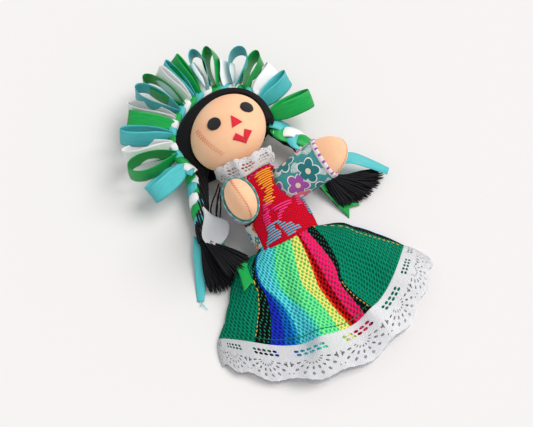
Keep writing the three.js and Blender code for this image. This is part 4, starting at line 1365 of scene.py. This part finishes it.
# ---- Lace
# Machine lace: a close-woven tape with groups of small holes, fans of long holes below it and a
# scalloped edge. A wide band is sewn round the skirt's hem and a narrow one round the neck.
def lace_thread(name, colour, hollow_shade):
    material, tree = new_material(name)
    flat = add(tree, "UVMap")
    net = {"Vector": flat, "Scale": 2.4, "Randomness": 0.6}
    cords = {"Vector": flat, "Scale": 0.55, "Distortion": 3.0, "Detail": 1.0}
    height = add(tree, "TexWave", cords, 1) * 0.5
    height = height + add(tree, "TexVoronoi", net, "Distance", voronoi_dimensions="2D")
    # Painted shade: the low parts of the cords and net take the slightly darker colour.
    coat(
        tree,
        0.35,
        Base_Color=mix_colours(height + 0.1, hollow_shade, colour),
        Roughness=0.8,
        Normal=relief(height, 0.8, 0.2),
    )
    return material


lace_white = lace_thread("lace_white", (254, 254, 255), (240, 241, 248))


def cut_lace(name, place, width, depth, step, cloth_at):
    """A lace band: the parts of a fine grid where cloth_at is above 0, cut along its zero line."""
    across, down = round(width / step), round(depth / step)
    field = []
    for i in range(across + 1):
        field.append([cloth_at(width * i / across, depth * j / down) for j in range(down + 1)])
    points, uv, faces, known = [], [], [], {}

    def corner(key, i, j):
        if key not in known:
            known[key] = len(points)
            uv.append((width * i / across, depth * j / down))
            points.append(place(*uv[-1]))
        return known[key]

    for i in range(across):
        for j in range(down):
            walk = [(i, j), (i + 1, j), (i + 1, j + 1), (i, j + 1)]
            face = []
            for (a, b), (c, d) in zip(walk, walk[1:] + walk[:1]):
                here, there = field[a][b], field[c][d]
                if here > 0:
                    face.append(corner((a, b), a, b))
                if (here > 0) != (there > 0):
                    share = here / (here - there)
                    key = (min((a, b), (c, d)), max((a, b), (c, d)))
                    face.append(corner(key, a + (c - a) * share, b + (d - b) * share))
            if len(face) > 2:
                faces.append(face)
    band = sew(name, points, faces, lace_white, uv)
    thicken(band, 0.35)
    return band


def oval_hole(x, y, cx, cy, rx, ry, lean=0.0):
    """Below 0 inside an oval hole."""
    dx, dy = x - cx, y - cy
    along = dx * math.cos(lean) + dy * math.sin(lean)
    aside = -dx * math.sin(lean) + dy * math.cos(lean)
    return (math.hypot(along / rx, aside / ry) - 1) * min(rx, ry)


REPEAT = 16.5
HEM_LACE_WIDTH = 132.0
TAPE_DEPTH = 6.4
FAN_HUB = 7.2


def hem_lace_cloth(u, d):
    """Above 0 where the hem's lace has cloth: u along the band, d down from the hem."""
    x = (u + 3.0) % REPEAT - REPEAT / 2
    scallop = 1.9 * math.sin(math.pi * x / REPEAT) ** 2
    edge = LACE_DEPTH - 0.25 - scallop - 0.3 * abs(math.sin(6 * math.pi * x / REPEAT))
    cloth = edge - d
    if d < TAPE_DEPTH:
        for row, shift in ((3.1, -0.4), (4.7, 0.4)):
            for k in range(5):
                cloth = min(cloth, oval_hole(x, d, (k - 2) * 2.15 + shift, row, 0.86, 0.58, 0.25))
        return cloth
    for k in range(8):
        lean = math.radians(-77 + 22 * k)
        for inner, outer, wide in ((2.0, 3.3, 0.22), (4.1, 5.7, 0.36), (6.6, 8.0, 0.48)):
            middle = (inner + outer) / 2
            cx, cy = middle * math.sin(lean), FAN_HUB + middle * math.cos(lean)
            if cy < edge - 0.9:
                cloth = min(cloth, oval_hole(x, d, cx, cy, (outer - inner) / 2, wide, math.pi / 2 - lean))
    for side in (-1, 1):
        for depth in (8.0, 9.6, 13.0):
            cloth = min(cloth, oval_hole(x, d, side * (REPEAT / 2 - 0.75), depth, 0.26, 0.4))
    return cloth


def hem_lace_half(name, side, step):
    """Half of the band round the hem: side is 1 over the front and -1 under the back."""

    def place(u, d):
        return hem_band_point(side * math.pi * (1 - u / HEM_LACE_WIDTH), d)

    return cut_lace(name, place, HEM_LACE_WIDTH, LACE_DEPTH, step, hem_lace_cloth)


hem_front = hem_lace_half("hem_lace_front", 1, 0.28)
hem_back = hem_lace_half("hem_lace_back", -1, 0.45)
finish_piece(hem_front, "torso", "lace_white", "skirt_lace")
finish_piece(hem_back, "torso", "lace_white")

COLLAR_DEPTH = 10.6
COLLAR_WIDTH = 81.0
# Around the neck, in degrees from the doll's left over the front: the lace's sewn edge and free edge.
COLLAR_STOPS = [
    (0, (10.2, 23.8, 14), (14, 29.3, 15)),
    (30, (9.4, 24, 18), (13.4, 29.8, 22)),
    (60, (5.6, 23.2, 20.6), (8.5, 29.6, 26)),
    (90, (-0.5, 21.6, 21.4), (0.5, 27.9, 27.2)),
    (115, (-5, 21, 21), (-5.5, 29.2, 26.6)),
    (140, (-8, 21.6, 19.8), (-10.6, 30.2, 25.6)),
    (160, (-9.8, 22.8, 17.4), (-15.2, 31.5, 21.5)),
    (180, (-10.6, 24, 14), (-17.8, 33, 16)),
    (200, (-9.8, 24.5, 10), (-15.5, 31.5, 9)),
    (235, (-6, 25, 5), (-9, 31, 3)),
    (270, (0, 25, 3.2), (0, 30.5, 1.3)),
    (305, (6, 25, 5), (8, 30, 3)),
    (335, (9.4, 24.5, 9.6), (12.5, 29.5, 8.5)),
    (360, (10.2, 23.8, 14), (14, 29.3, 15)),
]


def curve(a, b, c, d, t):
    """A point of the smooth line through four points, on its part from b to c."""
    at = (2 * b) + (c - a) * t + (2 * a - 5 * b + 4 * c - d) * t * t
    return 0.5 * (at + (3 * b - a - 3 * c + d) * t**3)


def smooth_spot(stops, place):
    """A smooth value between stops whose first items are places along a line."""
    k = next((i for i in range(len(stops) - 1) if place <= stops[i + 1][0]), len(stops) - 2)
    t = (place - stops[k][0]) / (stops[k + 1][0] - stops[k][0])
    b, c = Vector(stops[k][1]), Vector(stops[k + 1][1])
    a = Vector(stops[k - 1][1]) if k else 2 * b - c
    d = Vector(stops[k + 2][1]) if k + 2 < len(stops) else 2 * c - b
    return curve(a, b, c, d, t)


def collar_lace_cloth(u, d):
    """Above 0 where the neck's lace has cloth: u along the band, d from its sewn edge."""
    x = u % 9.0 - 4.5
    cloth = COLLAR_DEPTH - 0.2 - 0.9 * math.sin(2 * math.pi * x / 9.0) ** 2 - d
    holes = [(row, count, 1.9, 0.82, 0.62, 0.4) for row, count in ((2.4, 3), (4.1, 4), (5.8, 3))]
    holes += [(row, count, 1.8, 0.36, 0.26, 1.2) for row, count in ((7.6, 5), (9.0, 4))]
    for row, count, apart_by, long, wide, lean in holes:
        for k in range(count):
            cloth = min(cloth, oval_hole(x, d, (k - (count - 1) / 2) * apart_by, row, long, wide, lean))
    return cloth


def collar_point(u, d):
    """The neck lace stands up from the bodice in front of the chin, frilled towards its edge."""
    degrees = 360.0 * u / COLLAR_WIDTH
    share = d / COLLAR_DEPTH
    sewn = smooth_spot([(a, low) for a, low, high in COLLAR_STOPS], degrees)
    free = smooth_spot([(a, high) for a, low, high in COLLAR_STOPS], degrees)
    at = sewn.lerp(free, share)
    outwards = Vector((at.x, -2.0, at.z - 13)).normalized()
    frill = 0.75 * math.cos(math.radians(9 * degrees)) * (0.25 + 0.75 * min(1.0, 2 * share))
    at = at + outwards * (frill + 0.9 * math.sin(math.pi * share))
    at.z = max(0.8, at.z)
    return at


collar = cut_lace("collar_lace_band", collar_point, COLLAR_WIDTH, COLLAR_DEPTH, 0.25, collar_lace_cloth)
finish_piece(collar, "torso", "lace_white", "collar_lace")


# ---- Braids, ties, tassels and ribbon ends
# Three bundles of black yarn, each with a satin ribbon laid along it, plaited down from the ears,
# bound with yarn, and let out in a flat tassel. The ribbons' free ends hang from the ties.
def smooth_path(stops, count):
    """A smooth line of points through the given ones."""
    stops = [Vector(p) for p in stops]
    ends = [2 * stops[0] - stops[1], *stops, 2 * stops[-1] - stops[-2]]
    line = []
    for i in range(count):
        place = i / (count - 1) * (len(stops) - 1)
        k = min(int(place), len(stops) - 2)
        line.append(curve(*ends[k : k + 4], place - k))
    return line


YARN_RADIUS = 0.62
BUNDLE_RADIUS, BUNDLE_YARNS, BUNDLE_LAY = 1.45, 9, 30
LOOSE_LAY = 55
TIE_RADIUS, TIE_YARN = 3.3, 0.55
TASSEL_YARNS, TASSEL_YARN = 230, 0.46
OVER_YARNS = 60
BRAIDS = {
    "right": {
        "path": [(-26.6, 42.6, 9), (-30.4, 31, 7.2), (-33, 21, 6.2), (-34.8, 12, 5.4), (-35.5, 7.6, 5)],
        "end": Vector((-35.8, 6, 5)),
        "loose": [
            (-20.2, 43, 10.6), (-23.2, 36, 9.6), (-26.8, 27.8, 8.6), (-30.4, 19.8, 7.6), (-34.6, 11.4, 6.6),
            (-36, 6.4, 5.4),
        ],
        "loose_radius": 2.9,
        "fan": (-77, 31, ((-1, 26.5), (-0.5, 28), (0, 26), (0.5, 27.5), (1, 25))),
        "fan_height": 7.5,
        "face": Vector((-0.5, -0.1, 0.85)),
        "phase": 0.55,
        "turn": 18.0,
        "swing": 1.1,
        "aside": -1.7,
        "ribbon": 5.6,
    },
    "left": {
        "path": [(21.4, 46, 10.6), (25.0, 39, 9.2), (30, 32.4, 7.6), (33.4, 21, 5.6), (35.2, 13.6, 5)],
        "end": Vector((35.6, 12, 5)),
        "loose": [(21.0, 44, 8), (24.8, 37.6, 6.8), (29.4, 31, 5.6), (32.6, 21, 5), (35, 13.6, 5)],
        "loose_radius": 1.2,
        "fan": (-51, 41, ((-1, 18.5), (-0.5, 20.5), (0, 24), (0.5, 27.5), (1, 29.5))),
        "fan_height": 5.0,
        "face": Vector((0.1, 0.35, 0.93)),
        "phase": 0.53,
        "turn": 24.0,
        "swing": 1.9,
        "aside": 0.0,
        "ribbon": 8.2,
    },
}


def yarn_bundle(line, radius, count, lay):
    """Yarns lying side by side in a round bundle along a line, with a slow twist."""
    yarns = [[] for _ in range(count)]
    for i, (at, far) in enumerate(zip(line, travelled_along(line))):
        side, lift = across_and_up(heading(line, i))
        for n, yarn in enumerate(yarns):
            turn = 2 * math.pi * (n / (count - 1) + far / lay)
            reach = 0.0 if n == count - 1 else radius
            place = at + side * (reach * math.cos(turn)) + lift * (reach * math.sin(turn))
            place.z = max(0.6, place.z)
            yarn.append(place)
    return yarns


def bend_from_hair(piece, label, slot, *nodes):
    """The braid is sewn into the hair. The piece's placement is baked into its points, and its CAD nodes are
    hidden.
    """
    start, _, below, *_ = (Vector(stop) / 1000 for stop in BRAIDS[label]["path"])
    tuple(start)
    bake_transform(piece)
    if nodes:
        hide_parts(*nodes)


def tassel_strand(at, length, heading_at, height_at):
    """A yarn of a tassel, with its heading in degrees and its height at each share of the way."""
    path = [at.copy()]
    for i in range(1, 17):
        share = i / 16
        turn = math.radians(heading_at(share))
        at = at + Vector((math.cos(turn), math.sin(turn), 0)) * (length / 16)
        path.append(Vector((at.x, at.y, height_at(share))))
    return path


for label, braid in BRAIDS.items():
    body = "braid_" + label
    line = smooth_path(braid["path"], 160)
    far = travelled_along(line)
    face = braid["face"].normalized()
    yarns = []
    for k, colour in enumerate(COLOURS):
        centre_line = []
        for i, at in enumerate(line):
            side, lift = across_and_up(heading(line, i))
            phase = 2 * math.pi * (far[i] / braid["turn"] + k / 3 + braid["phase"])
            narrow = 1.0 - 0.35 * ease(i / len(line), 0.7, 1.0)
            across = braid["aside"] + braid["swing"] * narrow * math.sin(phase)
            centre_line.append(at + side * across + lift * (1.2 * narrow * math.sin(2 * phase)))
        yarns += yarn_bundle(centre_line, BUNDLE_RADIUS, BUNDLE_YARNS, BUNDLE_LAY)
        path = []
        for i, at in enumerate(centre_line):
            along = heading(centre_line, i)
            place = at + (face - along * face.dot(along)).normalized() * 2.2
            place.z = max(0.5, place.z)
            path.append(place)
        ribbon = lay_ribbon(
            "braid_ribbon_%s_%s" % (colour, label),
            path[2:],
            lambda along, f=face: along.cross(f),
            lambda t, wide=braid["ribbon"]: wide - 3.0 * ease(t, 0.8, 1.0),
            satins[colour],
            cup=-0.55,
            across=10,
            thickness=0.3,
        )
        bend_from_hair(ribbon, label, "satin_" + colour)
    loose = smooth_path(braid["loose"], 60)
    yarns += yarn_bundle(loose, braid["loose_radius"], 13, LOOSE_LAY)
    yarns += yarn_bundle(loose, braid["loose_radius"] * 0.5, 7, LOOSE_LAY)
    plait = spin("braid_yarn_" + label, yarns, YARN_RADIUS, yarn_black, 6)
    bend_from_hair(plait, label, "yarn_black", "braid_" + label)

    # The tie is wound five times round the braid's end, forth and back.
    end = braid["end"]
    tie_aim = (end - Vector(braid["path"][-2])).normalized()
    tie_side, tie_lift = across_and_up(tie_aim)
    wound = []
    for i in range(141):
        turn = 2 * math.pi * i / 28
        shift = -1.15 + 2.3 * abs((i / 70) % 2 - 1)
        radius = TIE_RADIUS + 0.12 * math.sin(turn * 0.7)
        at = end + tie_aim * shift + tie_side * (radius * math.cos(turn))
        wound.append(at + tie_lift * (radius * math.sin(turn)))
    core = [end + tie_aim * (-1.2 + 0.4 * i) for i in range(7)]
    tie = spin("tie_yarn_" + label, [wound], TIE_YARN, yarn_black, 6)
    finish_piece(tie, body, "yarn_black", "braid_tie_" + label)
    finish_piece(spin("tie_core_" + label, [core], 3.1, yarn_black, 20), body, "yarn_black")

    middle, half, lengths = braid["fan"]
    tie_heading = math.degrees(math.atan2(tie_aim.y, tie_aim.x))
    strands = []
    for n in range(TASSEL_YARNS):
        place = (n + 0.5) / TASSEL_YARNS * 2 - 1
        level = random.uniform(-1, 1)
        length = along_stops(lengths, place) * random.uniform(0.86, 1.03)
        turned = middle + half * place + random.uniform(-3, 3) - tie_heading
        curl = random.uniform(-9, 9)
        at = end + tie_aim * 1.3 + tie_side * (-2.7 * place)
        at += tie_lift * (2.4 * level * math.sqrt(1 - place * place))
        base = at.z
        rise = 0.5 + (0.5 + 0.5 * level) * braid["fan_height"] * (0.75 + 0.25 * place) - base
        strand = tassel_strand(
            at,
            length,
            lambda share: tie_heading + turned * ease(share, -0.1, 0.5) + curl * math.sin(5 * share),
            lambda share: max(0.5, base + rise * ease(share, 0.2, 1.0)),
        )
        strands.append(strand)
    if label == "right":
        # The upper yarns lie over the green ribbon end, which comes out below them.
        for n in range(OVER_YARNS):
            place = (n + 0.5) / OVER_YARNS
            length = random.uniform(23, 27)
            turned = -86 + 36 * place + random.uniform(-2, 2) - tie_heading
            hump = 3.4 + 0.9 * math.sin(n * 1.7)
            strand = tassel_strand(
                end + tie_aim * 1.2 + Vector((1.6 * place - 0.4, 0, 2.8)),
                length,
                lambda share: tie_heading + turned * ease(share, -0.1, 0.35),
                lambda share: 8.0 + hump * math.sin(math.pi * min(1.0, share * 0.62)),
            )
            strands.append(strand)
    tassel = spin("tassel_yarn_" + label, strands, TASSEL_YARN, yarn_black, 5, thin_ends=True)
    finish_piece(tassel, body, "yarn_black", "tassel_" + label)


def ribbon_end(name, stops, widths, notch, material):
    """A free ribbon end. A notch above 0 cuts it to a swallow-tail."""
    across, count = 10, 40
    line = smooth_path(stops, 200)
    far = travelled_along(line)
    points, uv = [], []
    for i in range(count + 1):
        width = along_stops(widths, i / count)
        for j in range(across + 1):
            v = j / across - 0.5
            goal = (far[-1] - notch * (1 - 2 * abs(v))) * i / count
            k = min(range(len(far) - 1), key=lambda n: abs(far[n] - goal))
            along = (line[k + 1] - line[k]).normalized()
            broad = along.cross(UP).normalized()
            curl = 0.3 * math.sin(3.0 * i / count + 2 * v) + 1.6 * v * v * math.sin(5 * i / count)
            at = line[k] + along * (goal - far[k]) + broad * (v * width)
            at.z = max(0.3, at.z + curl)
            points.append(at)
            uv.append((goal, v * RIBBON_WIDTH))
    ribbon = sew(name, points, quads(count, across), material, uv)
    thicken(ribbon, 0.2)
    return ribbon


TAILS = [
    (
        "teal",
        "right",
        ((0, 3.0), (0.3, 4.8), (0.55, 5.6), (0.85, 4.4), (1, 3.4)),
        0.0,
        [(-38.8, 9.4, 3.8), (-42.2, 0, 3.2), (-44.1, -6.3, 2.2), (-47.8, -14.6, 1.2), (-51.2, -21.9, 0.8)],
    ),
    (
        "green",
        "right",
        ((0, 3.4), (0.5, 5.0), (0.8, 7.2), (1, 9.2)),
        2.6,
        [(-33.4, 5.6, 8.4), (-29.6, -7.2, 8.8), (-26.4, -18.6, 11.2), (-27.0, -31.4, 13.8)],
    ),
    (
        "teal",
        "left",
        ((0, 4.2), (0.2, 6.6), (0.45, 6.6), (1, 3.8)),
        0.0,
        [(35.4, 13.2, 6.4), (41.5, 13.6, 8.4), (50.2, 12.0, 8.5), (57.8, 5.4, 7.5), (65.4, -2.0, 5.2)],
    ),
    (
        "green",
        "left",
        ((0, 4.0), (0.5, 6.4), (1, 9.4)),
        3.6,
        [(31.4, 8, 4.4), (33.4, 2.4, 3), (36.6, -5, 1.8), (40.2, -13, 0.9)],
    ),
]
for colour, label, widths, notch, stops in TAILS:
    tail = ribbon_end("tail_ribbon_%s_%s" % (colour, label), stops, widths, notch, satins[colour])
    finish_piece(tail, "braid_" + label, "satin_" + colour, "tail_%s_%s" % (colour, label))
frayed = []
for stop in ((-50.0, -27.2, 0.8), (-50.8, -25.0, 0.8), (-52.4, -24.4, 0.8)):
    frayed.append(smooth_path([(-51.0, -20.8, 0.9), (-51.2, -22.8, 1.0), stop], 12))
frayed_threads = spin("tail_frayed_threads", frayed, 0.16, satins["teal"], 5)
finish_piece(frayed_threads, "braid_right", "satin_teal")

# The white ribbon's end is folded over the tie, so it shows nearly as broad as it is long. Its two
# edges run apart and together again, and it is dented near its end.
white_outer = [
    (-30.2, 19.4, 10.4), (-31.8, 14.2, 10.6), (-35.4, 9.0, 10.2), (-37.2, 4.6, 9.6), (-35.9, -1.6, 9.2),
]
white_inner = [
    (-29.6, 19.2, 10.8), (-27.3, 13.3, 10.6), (-22.0, 7.2, 9.8), (-24.9, 0.9, 9.5), (-31.7, -2.9, 9.1),
]
WHITE_LENGTH = 19.0
rows, columns = 30, 12
edges = zip(smooth_path(white_outer, rows + 1), smooth_path(white_inner, rows + 1))
points, uv = [], []
for i, (outer, inner) in enumerate(edges):
    for j in range(columns + 1):
        v = j / columns
        dent = 1.5 * math.exp(-(((i - 24) / 3.2) ** 2)) * math.exp(-(((v - 0.38) / 0.3) ** 2))
        at = outer.lerp(inner, v)
        at.z += 1.3 * math.sin(math.pi * v) - dent
        points.append(at)
        uv.append((WHITE_LENGTH * i / rows, (v - 0.5) * RIBBON_WIDTH))
white_tail = sew("tail_ribbon_white_right", points, quads(rows, columns), satins["white"], uv)
thicken(white_tail, 0.2, -1.0)
finish_piece(rounded(white_tail), "braid_right", "satin_white", "tail_white_right")

# Loops of yarn that slipped out of the braids.
slipped = {
    "right": [
        [
            (-16.0, 30.6, 5), (-20, 26, 6), (-24.4, 21.4, 6), (-26.8, 17.4, 5.4), (-25.8, 14.4, 5),
            (-23, 18, 5.4), (-20.4, 23, 6), (-17.2, 27, 5),
        ],
        [
            (-16.4, 28.4, 5), (-19.6, 23.6, 5.6), (-22.8, 19.2, 5.4), (-24.8, 15.2, 4.8), (-24.2, 13, 4.6),
            (-21.4, 17.4, 5), (-18.4, 24, 5),
        ],
    ],
    "left": [
        [(28.4, 9.6, 3), (30.2, 5.6, 3.4), (32.2, 1.6, 3.4), (34, -1.6, 2.6), (33, 1.6, 2.4), (31.2, 6, 2.8)],
        [(29.4, 8.6, 2.6), (31, 3.4, 2.8), (33.6, -2.8, 2), (35.4, -4.6, 1.4)],
    ],
}
for label, loops in slipped.items():
    loose = spin("slipped_yarn_" + label, [smooth_path(stops, 60) for stops in loops], 0.42, yarn_black, 6)
    finish_piece(loose, "braid_" + label, "yarn_black")
